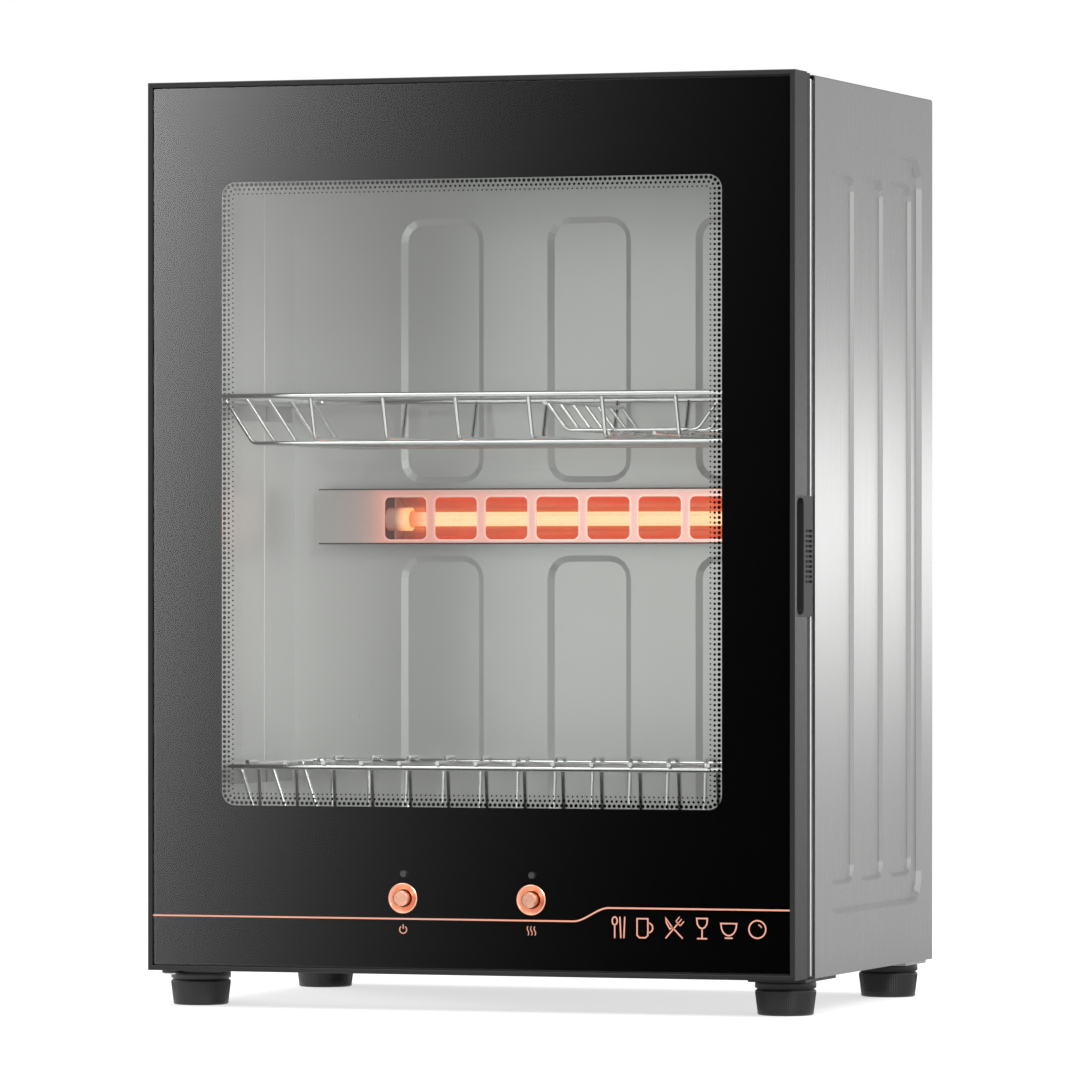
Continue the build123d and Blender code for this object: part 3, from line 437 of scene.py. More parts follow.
FINISHES = {
    "shell_steel": brushed_metal("brushed_shell_steel", grey(0.42, 0.005), grey(0.52, 0.005), 0.25,
                                 (1500, 1500, 7), drawn=0.5),
    "liner_steel": brushed_metal("satin_liner_steel", grey(0.74, 0.005), grey(0.82, 0.005), 0.32,
                                 (450, 450, 450), strength=0.02, metallic=0.5),
    "frame_black": brushed_metal("satin_dark_frame", grey(0.021), grey(0.031), 0.36,
                                 (300, 300, 300), strength=0.06, metallic=0.7),
    "front_glass": clear_glass("front_glass", (0.975, 0.98, 0.975, 1.0)),
    "inner_glass": clear_glass("inner_glass", (0.985, 0.99, 0.985, 1.0)),
    "quartz": quartz_with_painted_glow("quartz_tube_glass"),
    "black_print": back_printed_film("black_print"),
    "tray_black": moulded_plastic("tray_dark_plastic", grey(0.030), grey(0.042), 0.62),
    "gasket_rubber": moulded_plastic("gasket_rubber", grey(0.025), grey(0.04), 0.62, 900.0, 0.25),
    "handle_black": moulded_plastic("handle_plastic", grey(0.010), grey(0.017), 0.42, 1800.0, 0.12),
    "plastic_white": moulded_plastic("white_plastic", grey(0.62, 0.02), grey(0.72, 0.02), 0.4),
    "rose_gold": spun_metal("rose_gold", (0.80, 0.40, 0.27, 1.0), (0.92, 0.52, 0.38, 1.0), 0.22,
                            BUTTON_CENTRES),
    "lens_grey": moulded_plastic("lens_smoke", grey(0.035), grey(0.05), 0.18, 600.0, 0.03, 0.5),
    "board_green": circuit_board("board_green"),
    "zinc_steel": plated_metal("zinc_coated_steel", grey(0.42), grey(0.62), 0.38, 500.0, 0.1),
    "bracket_black": moulded_plastic("bracket_black_paint", grey(0.012), grey(0.020), 0.38),
    "pin_steel": plated_metal("pin_steel", grey(0.55), grey(0.65), 0.24),
    "screw_steel": plated_metal("screw_steel", grey(0.50), grey(0.62), 0.28),
    "wire_chrome": plated_metal("wire_chrome", grey(0.74), grey(0.86), 0.10, 700.0, 0.04),
    "reflector_bright": reflector_with_painted_glow("reflector_bright"),
    "heating_wire": glowing_wire("glowing_heating_wire"),
    "white_ceramic": moulded_plastic("white_ceramic", grey(0.66, 0.02), grey(0.76, 0.02), 0.3,
                                     500.0, 0.08),
    "bushing_plastic": moulded_plastic("bushing_plastic", grey(0.55, 0.03), grey(0.62, 0.03), 0.45),
    "foot_rubber": moulded_plastic("foot_black_plastic", grey(0.007), grey(0.013), 0.30, 1500.0,
                                   0.10),
}

# Each cad piece by the finish it takes.
WORN_BY = {
    "shell_steel": ["outer_shell"],
    "liner_steel": ["inner_liner", "liner_back", "heater_cover", "front_bezel"],
    "frame_black": ["door_frame_top", "door_frame_bottom", "door_frame_hinge_stile",
                    "door_frame_handle_stile"],
    "front_glass": ["door_glass"],
    "inner_glass": ["inner_glass"],
    "quartz": ["quartz_tube"],
    "black_print": ["glass_print"],
    "tray_black": ["door_tray", "door_corner_blocks"],
    "gasket_rubber": ["door_gasket"],
    "handle_black": ["handle_insert", "cord_gland"],
    "plastic_white": ["switch_bodies", "terminal_block", "door_sensor"],
    "rose_gold": ["power_bezel", "sterilise_bezel", "power_button", "sterilise_button"],
    "lens_grey": ["indicator_lenses"],
    "board_green": ["control_board"],
    "zinc_steel": ["back_cover", "base_pan", "upper_rack_rails", "lower_rack_rails",
                   "foot_plates_rear", "heater_clips"],
    "bracket_black": ["hinge_bracket_lower", "hinge_bracket_upper", "foot_bracket_right"],
    "pin_steel": ["hinge_pins"],
    "screw_steel": ["foot_screws", "back_cover_screws", "thermostat"],
    "wire_chrome": ["upper_rack", "lower_rack", "chopstick_basket"],
    "reflector_bright": ["heater_reflector"],
    "heating_wire": ["heater_coil"],
    "white_ceramic": ["heater_end_caps", "thermal_fuse"],
    "bushing_plastic": ["hinge_bushes"],
    "foot_rubber": ["foot_front_left", "foot_front_right", "foot_rear_left", "foot_rear_right"],
}

for slot, pieces in WORN_BY.items():
    for piece in pieces:
        mesh = frame["nodes"][piece].data
        mesh.materials.clear()
        mesh.materials.append(FINISHES[slot])
COVER_WITH_PAINTED_LIGHT = cover_steel_with_painted_light("cover_steel_with_painted_light")
frame["nodes"]["heater_cover"].data.materials[0] = COVER_WITH_PAINTED_LIGHT
frame["nodes"]["heater_end_caps"].data.materials[0] = ceramic_with_painted_glow("end_ceramic_painted_glow")


# ---------------------------------------------------------------- making meshes
def finish_piece(name, mesh, slot, body, replaced=(), worn=None):
    """Puts a mesh on the cabinet as a named piece with its finish and the body it rides on."""
    mesh.name = name
    mesh.materials.clear()
    mesh.materials.append(worn or FINISHES[slot])
    piece = bpy.data.objects.new(name, mesh)
    bpy.context.scene.collection.objects.link(piece)
    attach(piece, body)
    if replaced:
        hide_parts(*replaced)
    return piece


def shade_smooth(mesh, angle=40):
    for polygon in mesh.polygons:
        polygon.use_smooth = True
    mesh.set_sharp_from_angle(angle=radians(angle))
    return mesh


def mesh_from(bm, name, angle=40):
    bmesh.ops.recalc_face_normals(bm, faces=bm.faces)
    mesh = bpy.data.meshes.new(name)
    bm.to_mesh(mesh)
    bm.free()
    return shade_smooth(mesh, angle)


class Form:
    """A Geometry Nodes tree built in the script, with named inputs for its sizes."""

    def __init__(self, name, **sizes):
        self.tree = bpy.data.node_groups.new(name, "GeometryNodeTree")
        self.ids = {}
        face = self.tree.interface
        face.new_socket("Geometry", in_out="INPUT", socket_type="NodeSocketGeometry")
        for label, value in sizes.items():
            kind = "NodeSocketInt" if isinstance(value, int) else "NodeSocketFloat"
            socket = face.new_socket(label, in_out="INPUT", socket_type=kind)
            self.ids[label] = (socket.identifier, value)
        face.new_socket("Geometry", in_out="OUTPUT", socket_type="NodeSocketGeometry")
        self.start = self.tree.nodes.new("NodeGroupInput")
        self.end = self.tree.nodes.new("NodeGroupOutput")

    def size(self, label):
        return self.start.outputs[label]

    def add(self, kind, settings=None, sockets=None, output=0):
        node = self.tree.nodes.new(kind)
        for name, value in (settings or {}).items():
            setattr(node, name, value)
        for key, value in (sockets or {}).items():
            values = value if isinstance(value, list) else [value]
            for one in values:
                if isinstance(one, bpy.types.NodeSocket):
                    self.tree.links.new(one, node.inputs[key])
                else:
                    node.inputs[key].default_value = one
        return node.outputs[output]

    def close(self, geometry, slot):
        """Ends the tree with real faces that wear the finish."""
        real = self.add("GeometryNodeRealizeInstances", sockets={0: geometry})
        smooth = self.add("GeometryNodeSetShadeSmooth", sockets={"Geometry": real})
        worn = self.add("GeometryNodeSetMaterial", sockets={"Geometry": smooth,
                                                            "Material": FINISHES[slot]})
        self.tree.links.new(worn, self.end.inputs[0])

    def grow(self, base, **changed):
        """Runs the tree on an object's data and gives back a plain mesh."""
        carrier = bpy.data.objects.new("carrier", base)
        bpy.context.scene.collection.objects.link(carrier)
        modifier = carrier.modifiers.new("form", "NODES")
        modifier.node_group = self.tree
        for label, (identifier, value) in self.ids.items():
            modifier[identifier] = changed.get(label, value)
        carrier.update_tag()
        evaluated = carrier.evaluated_get(bpy.context.evaluated_depsgraph_get())
        mesh = bpy.data.meshes.new_from_object(evaluated)
        bpy.data.objects.remove(carrier)
        return mesh


def lines_curve(routes):
    """A curve whose straight splines follow routes of (points, radius)."""
    curve = bpy.data.curves.new("routes", "CURVE")
    curve.dimensions = "3D"
    for points, radius in routes:
        spline = curve.splines.new("POLY")
        spline.points.add(len(points) - 1)
        for target, point in zip(spline.points, points):
            target.co = (*point, 1.0)
            target.radius = radius / 1000
    return curve


def joined(meshes, name):
    """One mesh out of several, with the first one's finish."""
    bm = bmesh.new()
    for mesh in meshes:
        bm.from_mesh(mesh)
    mesh = bpy.data.meshes.new(name)
    bm.to_mesh(mesh)
    bm.free()
    mesh.materials.append(meshes[0].materials[0])
    return mesh


# ---------------------------------------------------------------- wire racks and basket
wire_form = Form("bent_wire", Bend=0.006, Bend_Steps=6, Round=14)
wire_bent = wire_form.add("GeometryNodeFilletCurve", {"mode": "POLY"}, {
    "Curve": wire_form.start.outputs[0], "Count": wire_form.size("Bend_Steps"),
    "Radius": wire_form.size("Bend"), "Limit Radius": True})
wire_section = wire_form.add("GeometryNodeCurvePrimitiveCircle",
                             sockets={"Resolution": wire_form.size("Round"), "Radius": 1.0})
wire_form.close(wire_form.add("GeometryNodeCurveToMesh", sockets={
    "Curve": wire_bent, "Profile Curve": wire_section, "Fill Caps": True,
    "Scale": wire_form.add("GeometryNodeInputRadius")}), "wire_chrome")


def rack_rim(z, front):
    """The rim's wire runs round the rack from the middle of its front side."""
    return [place(0, front, z), place(RACK_HALF, front, z), place(RACK_HALF, RACK_BACK, z),
            place(-RACK_HALF, RACK_BACK, z), place(-RACK_HALF, front, z), place(0, front, z)]


def rack_cross(y, rim_z, floor_half, floor_z):
    """A wire that hangs from the two long sides of the rim and crosses the rack's floor."""
    end = RACK_HALF - 1.5
    return [place(-end, y, rim_z - 0.5), place(-floor_half, y, floor_z),
            place(floor_half, y, floor_z), place(end, y, rim_z - 0.5)]


def upper_rack_wires():
    first, last = RACK_FRONT + 10.0, RACK_BACK - 10.0
    wires = [rack_cross(first + k * (last - first) / 4, UPPER_RIM_Z, 175.0, UPPER_FLOOR_Z)
             for k in range(5)]
    floor = UPPER_FLOOR_Z + RACK_WIRE - 0.4
    top = UPPER_RIM_Z - 0.5
    for x in spread(6, 52.0):
        wires.append([place(x, RACK_FRONT + 0.5, top), place(x, first, floor),
                      place(x, last, floor), place(x, RACK_BACK - 0.5, top)])
    return wires


def lower_rack_wires():
    top = LOWER_RIM_Z + RIM_WIRE / 2 + RACK_WIRE / 2 - 0.4
    front, back = LOWER_FRONT - 3.0, RACK_BACK + 3.0
    wires = []
    for x in spread(14, 27.4):
        wires.append([place(x, front, top), place(x, front + 22.0, top),
                      place(x, front + 26.0, LOWER_FLOOR_Z), place(x, back - 26.0, LOWER_FLOOR_Z),
                      place(x, back - 22.0, top), place(x, back, top)])
    first = LOWER_FRONT + 26.0 + 6.0
    last = RACK_BACK + LOWER_FRONT - first
    for k in range(3):
        wires.append(rack_cross(first + k * (last - first) / 2, LOWER_RIM_Z, 182.0,
                                LOWER_FLOOR_Z - RACK_WIRE + 0.4))
    return wires


def basket_wires():
    """Two long rims, two runners and seven cradles, with the radius of each wire."""
    middle, floor_half, top_half = 94.0, 46.0, 60.5
    runner_z = UPPER_FLOOR_Z + 2 * 2.6 - 1.5 + 0.7 + BASKET_WIRE / 2
    floor = runner_z + BASKET_WIRE - 0.4
    rim = floor + 18.5
    first, pitch, count = 68.0, 27.0, 7
    last = first + (count - 1) * pitch
    routes = []
    for side in (-1, 1):
        x = middle + side * top_half
        routes.append(([place(x, first - 4.0, rim), place(x, last + 4.0, rim)], RACK_WIRE / 2))
        x = middle + side * 16.0
        routes.append(([place(x, first - 1.5, runner_z), place(x, last + 1.5, runner_z)],
                       BASKET_WIRE / 2))
    for k in range(count):
        y = first + k * pitch
        routes.append(([place(middle - top_half + 0.5, y, rim),
                        place(middle - floor_half, y, floor),
                        place(middle + floor_half, y, floor),
                        place(middle + top_half - 0.5, y, rim)], BASKET_WIRE / 2))
    return routes


def make_rack(name, body, rim, wires, replaced):
    rim_mesh = wire_form.grow(lines_curve([(rim, RIM_WIRE / 2)]), Bend=RACK_CORNER / 1000)
    wire_mesh = wire_form.grow(lines_curve([(wire, RACK_WIRE / 2) for wire in wires]))
    return finish_piece(name, joined([rim_mesh, wire_mesh], name), "wire_chrome", body, replaced)


make_rack("upper_rack_wires", "upper_rack_body", rack_rim(UPPER_RIM_Z, RACK_FRONT),
          upper_rack_wires(), ["upper_rack"])
make_rack("lower_rack_wires", "lower_rack_body", rack_rim(LOWER_RIM_Z, LOWER_FRONT),
          lower_rack_wires(), ["lower_rack"])
finish_piece("basket_wires", wire_form.grow(lines_curve(basket_wires()), Bend=0.008), "wire_chrome",
             "basket_body", ["chopstick_basket"])


# ---------------------------------------------------------------- heater winding
WINDING_LENGTH = HEATER_LENGTH - 6.0
winding = Form("heater_winding", Turns=190.0, Radius=0.0046, Length=WINDING_LENGTH / 1000,
               Wire=0.0005, Steps=16)
winding_path = winding.add("GeometryNodeCurveSpiral", sockets={
    "Resolution": winding.size("Steps"), "Rotations": winding.size("Turns"),
    "Start Radius": winding.size("Radius"), "End Radius": winding.size("Radius"),
    "Height": winding.size("Length")})
winding_section = winding.add("GeometryNodeCurvePrimitiveCircle",
                              sockets={"Resolution": 6, "Radius": winding.size("Wire")})
winding_coil = winding.add("GeometryNodeCurveToMesh", sockets={
    "Curve": winding_path, "Profile Curve": winding_section, "Fill Caps": True})
winding.close(winding_coil, "heating_wire")

coil_mesh = winding.grow(bpy.data.meshes.new("start"))
coil_mesh.transform(Matrix.Translation(place(-WINDING_LENGTH / 2, HEATER_Y, HEATER_Z))
                    @ Matrix.Rotation(radians(90), 4, "Y"))
finish_piece("heater_winding", coil_mesh, "heating_wire", "cabinet", ["heater_coil"])


# ---------------------------------------------------------------- heater cover
def rounded(width, height, radius, x=0.0, z=0.0, steps=8):
    """Points (x, z) of a rectangle with round corners."""
    points = []
    for quarter in range(4):
        cx = x + (width / 2 - radius) * (1 if quarter in (0, 3) else -1)
        cz = z + (height / 2 - radius) * (1 if quarter in (0, 1) else -1)
        for k in range(steps + 1):
            angle = pi / 2 * (quarter + k / steps)
            points.append((cx + radius * cos(angle), cz + radius * sin(angle)))
    return points


def plate_with_windows(outline, windows, y, thick):
    """A flat plate that faces the front, with windows cut through it."""
    curve = bpy.data.curves.new("plate", "CURVE")
    curve.dimensions = "2D"
    curve.fill_mode = "BOTH"
    curve.extrude = thick / 2000
    for ring in [outline] + windows:
        spline = curve.splines.new("POLY")
        spline.points.add(len(ring) - 1)
        spline.use_cyclic_u = True
        for target, (x, z) in zip(spline.points, ring):
            target.co = (x / 1000, z / 1000, 0.0, 1.0)
    carrier = bpy.data.objects.new("plate", curve)
    bpy.context.scene.collection.objects.link(carrier)
    mesh = bpy.data.meshes.new_from_object(
        carrier.evaluated_get(bpy.context.evaluated_depsgraph_get()))
    bpy.data.objects.remove(carrier)
    mesh.transform(Matrix.Translation(place(0, y + thick / 2, 0)) @ Matrix.Rotation(pi / 2, 4, "X"))
    return mesh


def add_wall(bm, x0, x1, y0, y1, z0, z1):
    """A folded wall of sheet between two corners of the cabinet's own millimetres."""
    corners = [bm.verts.new(place(x, y, z)) for x in (x0, x1) for y in (y0, y1) for z in (z0, z1)]
    for a, b, c, d in ((0, 1, 3, 2), (4, 6, 7, 5), (0, 4, 5, 1), (2, 3, 7, 6), (0, 2, 6, 4),
                       (1, 5, 7, 3)):
        bm.faces.new((corners[a], corners[b], corners[c], corners[d]))


def make_heater_cover():
    """Pressed cover strip: front with rounded windows and four folded walls."""
    sheet, lap = 1.0, 0.05
    middle = (COVER_LOW + COVER_HIGH) / 2
    outline = rounded(COVER_HALF * 2, COVER_HIGH - COVER_LOW, 1.5, 0, middle, 3)
    windows = [rounded(PANE_WIDTH, PANE_HEIGHT, PANE_ROUND, x, PANE_Z)
               for x in spread(PANES, PANE_PITCH)]
    bm = bmesh.new()
    bm.from_mesh(plate_with_windows(outline, windows, COVER_FRONT, sheet))
    inner, back = COVER_FRONT + 0.9, COVER_BACK - 0.02
    side = COVER_HALF - lap
    for z0 in (COVER_LOW + lap, COVER_HIGH - sheet):
        add_wall(bm, -side, side, inner, back, z0, z0 + sheet - lap)
    for x0 in (-side, COVER_HALF - sheet):
        add_wall(bm, x0, x0 + sheet - lap, inner, back, COVER_LOW + sheet, COVER_HIGH - sheet)
    finish_piece("heater_cover_pressed", mesh_from(bm, "heater_cover_pressed", 30), "liner_steel",
                 "cabinet", ["heater_cover"], COVER_WITH_PAINTED_LIGHT)


make_heater_cover()


# ---------------------------------------------------------------- band round the door's tray
def make_tray_band():
    """Side skin of the tray behind the frame, open where the handle plate sits."""
    bm = bmesh.new()
    low, high = 0.4, DOOR_HEIGHT - 0.4
    cut_low, cut_high = 239.3, 319.7
    front, back = 28.05, 39.5
    # Each corner of the band's section, by its inset from the door's edge and its depth.
    section = ((1.4, front), (1.4, back), (4.95, back), (2.45, front))
    turns = [(1, cut_high), (1, high), (-1, high), (-1, low), (1, low), (1, cut_low)]
    rings = []
    for side, z in turns:
        ring = []
        for inset, y in section:
            mitre = inset - section[0][0]
            height = z - mitre if z == high else z + mitre if z == low else z
            ring.append(bm.verts.new(place(side * (DOOR_HALF - inset), y, height)))
        rings.append(ring)
    for first, second in zip(rings, rings[1:]):
        for k in range(4):
            n = (k + 1) % 4
            bm.faces.new((first[k], first[n], second[n], second[k]))
    bm.faces.new(rings[0])
    bm.faces.new(rings[-1][::-1])
    finish_piece("tray_band", mesh_from(bm, "tray_band", 30), "tray_black", "door")


make_tray_band()


# ---------------------------------------------------------------- feet
def turned(profile, x, y, steps):
    """A closed body turned about an upright axis from (radius, height) pairs."""
    bm = bmesh.new()
    rings = []
    for radius, z in profile:
        if radius == 0:
            rings.append([bm.verts.new(place(x, y, z))])
        else:
            rings.append([bm.verts.new(place(x + radius * cos(2 * pi * k / steps),
                                             y + radius * sin(2 * pi * k / steps), z))
                          for k in range(steps)])
    for upper, lower in zip(rings, rings[1:]):
        for k in range(steps):
            n = (k + 1) % steps
            if len(upper) == 1:
                bm.faces.new((upper[0], lower[k], lower[n]))
            elif len(lower) == 1:
                bm.faces.new((upper[k], lower[0], upper[n]))
            else:
                bm.faces.new((upper[k], lower[k], lower[n], upper[n]))
    return bm


rib_form = Form("foot_ribs", Count=80, Rib=0.00042, Top_Radius=0.0200, Low_Radius=0.0184,
                Top=0.0, Low=-0.0128)
rib_line = rib_form.add("GeometryNodeCurvePrimitiveLine", sockets={
    "Start": rib_form.add("ShaderNodeCombineXYZ", sockets={"X": rib_form.size("Top_Radius"),
                                                           "Z": rib_form.size("Top")}),
    "End": rib_form.add("ShaderNodeCombineXYZ", sockets={"X": rib_form.size("Low_Radius"),
                                                         "Z": rib_form.size("Low")})})
rib_bar = rib_form.add("GeometryNodeCurveToMesh", sockets={
    "Curve": rib_line, "Fill Caps": True,
    "Profile Curve": rib_form.add("GeometryNodeCurvePrimitiveCircle", sockets={
        "Resolution": 8, "Radius": rib_form.size("Rib")})})
rib_spots = rib_form.add("GeometryNodeMeshLine", sockets={
    "Count": rib_form.size("Count"), "Offset": (0.0, 0.0, 0.0)})
rib_turn = rib_form.add("ShaderNodeMath", {"operation": "DIVIDE"}, {
    0: rib_form.add("ShaderNodeMath", {"operation": "MULTIPLY"},
                    {0: rib_form.add("GeometryNodeInputIndex"), 1: 2 * pi}),
    1: rib_form.size("Count")})
rib_form.close(rib_form.add("GeometryNodeInstanceOnPoints", sockets={
    "Points": rib_spots, "Instance": rib_bar,
    "Rotation": rib_form.add("ShaderNodeCombineXYZ", sockets={"Z": rib_turn})}), "foot_rubber")

FOOT_PROFILE = [(3.0, -2.5), (19.4, -2.5), (20.1, -2.8), (20.4, -3.6), (20.4, -6.3), (20.1, -6.9),
                (19.2, -7.1), (19.0, -7.6), (19.2, -8.0), (20.0, -8.3), (20.3, -9.0),
                (18.7, -22.6), (18.9, -23.2), (18.7, -24.2), (18.0, -24.8), (16.8, -25.0),
                (6.2, -25.0), (6.0, -24.6), (6.0, -10.5), (3.0, -10.5), (3.0, -2.5)]


def make_foot(name, x, y, replaced):
    """Smooth collar, groove, ribbed skirt and rolled lower edge."""
    bm = turned(FOOT_PROFILE, x, y, 72)
    bmesh.ops.remove_doubles(bm, verts=bm.verts, dist=1e-6)
    body = mesh_from(bm, name, 30)
    body.materials.append(FINISHES["foot_rubber"])
    ribs = rib_form.grow(bpy.data.meshes.new("start"))
    ribs.transform(Matrix.Translation(place(x, y, -9.4)))
    foot = joined([body, ribs], name)
    shade_smooth(foot, 30)
    finish_piece(name, foot, "foot_rubber", "cabinet", [replaced])


for across, side_name in ((-1, "left"), (1, "right")):
    for depth, row in zip(FOOT_YS, ("front", "rear")):
        make_foot(f"ribbed_foot_{row}_{side_name}", across * FOOT_X, depth,
                  f"foot_{row}_{side_name}")


# ---------------------------------------------------------------- printed marks on the glass
def printed_ink(name, ink):
    """Matt metallic-coloured ink with a faint grain."""
    finish = Finish(name)
    grain = finish.noise((900, 900, 900), detail=2.0)
    pale = tuple(min(1.0, c * 1.1) for c in ink[:3]) + (1.0,)
    finish.surface({
        "Base Color": finish.blend(grain, ink, pale),
        "Roughness": 0.4 + grain * 0.1,
        "Normal": finish.bump(grain, 0.05, 0.0001),
    })
    return finish.material


# The ink's depth on the glass, whose face lies at its back.
INK_FRONT, INK_BACK = 0.84, 0.9


def ribbon(bm, points, width, closed=False, front=INK_FRONT, back=INK_BACK):
    """A thin printed line of even width that follows points (x, z) on the glass."""
    count = len(points)
    left, right = [], []
    for k, (x, z) in enumerate(points):
        before = points[k - 1] if (k or closed) else points[k]
        after = points[(k + 1) % count] if (k < count - 1 or closed) else points[k]
        a = Vector((x - before[0], z - before[1]))
        b = Vector((after[0] - x, after[1] - z))
        a = a.normalized() if a.length else b.normalized()
        b = b.normalized() if b.length else a
        along = (a + b).normalized() if (a + b).length > 0.05 else a
        stretch = width / 2 / max(0.45, along.dot(a))
        normal = Vector((-along.y, along.x)) * stretch
        left.append((x + normal.x, z + normal.y))
        right.append((x - normal.x, z - normal.y))
    rings = [[bm.verts.new(place(px, depth, pz)) for px, pz in side]
             for depth in (front, back) for side in (left, right)]
    front_left, front_right, back_left, back_right = rings
    spans = range(count if closed else count - 1)
    for k in spans:
        n = (k + 1) % count
        bm.faces.new((front_left[k], front_left[n], front_right[n], front_right[k]))
        bm.faces.new((back_left[k], back_right[k], back_right[n], back_left[n]))
        bm.faces.new((front_left[k], back_left[k], back_left[n], front_left[n]))
        bm.faces.new((front_right[k], front_right[n], back_right[n], back_right[k]))
    if not closed:
        for k in (0, count - 1):
            bm.faces.new((front_left[k], front_right[k], back_right[k], back_left[k]))


def arc(x, z, radius, start, end, steps=16, flat=1.0):
    """Points on part of a circle, in degrees from its right-hand side."""
    return [(x + radius * cos(radians(start + (end - start) * k / steps)),
             z + flat * radius * sin(radians(start + (end - start) * k / steps)))
            for k in range(steps + 1)]


def wave_line():
    """The fine line that steps up from left to right across the lower glass."""
    points = [(-224.9, 37.2), (74.7, 37.2)]
    for k in range(1, 24):
        t = k / 24
        points.append((74.7 + 24.8 * t, 37.2 + 9.2 * (t * t * (3 - 2 * t))))
    return points + [(99.5, 46.4), (224.8, 46.4)]


def cutlery_marks(bm):
    """Six plain outlines: spoon and chopsticks, mug, fork and knife, glass, bowl, plate."""
    low, high = 26.5, 40.7
    width = 0.95
    # spoon and two chopsticks
    ribbon(bm, arc(103.6, 37.9, 1.75, 0, 360, 20, 1.5)[:-1], width, True)
    ribbon(bm, [(103.6, 35.2), (103.6, low)], width)
    ribbon(bm, [(107.2, high), (107.9, low)], width)
    ribbon(bm, [(110.6, high), (110.0, low)], width)
    # mug with its handle
    ribbon(bm, [(119.2, 39.6), (119.2, 28.6), (120.9, 27.0), (125.0, 27.0), (126.7, 28.6),
                (126.7, 39.6)], width, True)
    ribbon(bm, arc(126.9, 33.6, 3.2, 80, -80, 14), width)
    # crossed fork and knife
    ribbon(bm, [(139.0, low + 0.4), (148.4, 37.6)], width)
    for dx, dz in ((-1.5, 1.5), (0.0, 0.0), (1.5, -1.5)):
        ribbon(bm, [(147.7 + dx, 36.7 + dz), (150.2 + dx, 39.7 + dz)], width * 0.75)
    ribbon(bm, [(146.2, 38.2), (147.7, 36.7), (149.2, 35.2)], width * 0.75)
    ribbon(bm, [(150.9, low + 0.4), (143.2, 34.6)], width)
    ribbon(bm, [(143.6, 34.2), (139.2, 40.2), (139.6, 37.2), (142.0, 33.0)], width, True)
    # stemmed glass
    ribbon(bm, [(160.6, high - 0.4), (161.0, 36.6), (162.4, 34.4), (164.3, 33.6), (166.2, 34.4),
                (167.6, 36.6), (168.0, high - 0.4)], width, True)
    ribbon(bm, [(164.3, 33.4), (164.3, 27.4)], width)
    ribbon(bm, [(160.8, 27.0), (167.8, 27.0)], width)
    # bowl on its foot ring
    ribbon(bm, [(177.2, 37.2)] + arc(182.75, 36.4, 5.3, 180, 360, 18, 1.35) + [(188.3, 37.2)],
           width, True)
    ribbon(bm, [(180.0, 27.6), (185.5, 27.6)], width)
    # plate seen from above
    ribbon(bm, arc(202.5, 33.6, 5.8, 0, 360, 36)[:-1], width, True)
    ribbon(bm, arc(202.5, 33.6, 3.1, 20, 80, 8), width * 0.8)


def button_marks(bm):
    """A switch sign under the left button and rising heat under the right one."""
    x = -BUTTON_X
    ribbon(bm, arc(x, 30.0, 2.5, 125, 415, 20), 0.7)
    ribbon(bm, [(x, 33.6), (x, 30.4)], 0.7)
    for dx in (-2.4, 0.0, 2.4):
        ribbon(bm, [(BUTTON_X + dx + 0.6 * sin(k * pi / 4), 27.4 + k * 0.75)
                    for k in range(9)], 0.6)


marks = bmesh.new()
ribbon(marks, wave_line(), 1.1)
cutlery_marks(marks)
button_marks(marks)
finish_piece("printed_marks", mesh_from(marks, "printed_marks"), "rose_gold", "door",
             worn=printed_ink("rose_gold_ink", (0.80, 0.36, 0.25, 1.0)))

dots = Form("border_dots", Width=0.35, Height=0.42, Corner=0.0095, Pitch=0.00335, Dot=0.001,
            Thick=0.00006, Sides=10)
dot_path = dots.add("GeometryNodeCurvePrimitiveQuadrilateral", sockets={
    "Width": dots.size("Width"), "Height": dots.size("Height")})
dot_path = dots.add("GeometryNodeFilletCurve", {"mode": "POLY"}, {
    "Curve": dot_path, "Count": 12, "Radius": dots.size("Corner"), "Limit Radius": True})
dot_path = dots.add("GeometryNodeResampleCurve", {"mode": "LENGTH"}, {
    "Curve": dot_path, "Length": dots.size("Pitch")})
dots.close(dots.add("GeometryNodeInstanceOnPoints", sockets={
    "Points": dot_path,
    "Instance": dots.add("GeometryNodeMeshCylinder", sockets={
        "Vertices": dots.size("Sides"), "Radius": dots.size("Dot"),
        "Depth": dots.size("Thick")})}), "black_print")


def make_border_dots():
    """Three rows of printed dots that shrink towards the clear window."""
    rows = []
    for inset, size in ((1.9, 2.4), (5.0, 1.8), (8.0, 1.2)):
        rows.append(dots.grow(bpy.data.meshes.new("start"),
                              Width=(WINDOW_WIDTH - 2 * inset) / 1000,
                              Height=(WINDOW_HEIGHT - 2 * inset) / 1000,
                              Corner=max(WINDOW_ROUND - inset, 1.2) / 1000, Dot=size / 2000))
    mesh = joined(rows, "border_dots")
    mesh.transform(Matrix.Translation(place(0, GLASS_BACK_Y + 0.12, WINDOW_Z))
                   @ Matrix.Rotation(radians(90), 4, "X"))
    shade_smooth(mesh, 30)
    finish_piece("border_dots", mesh, "black_print", "door")


make_border_dots()


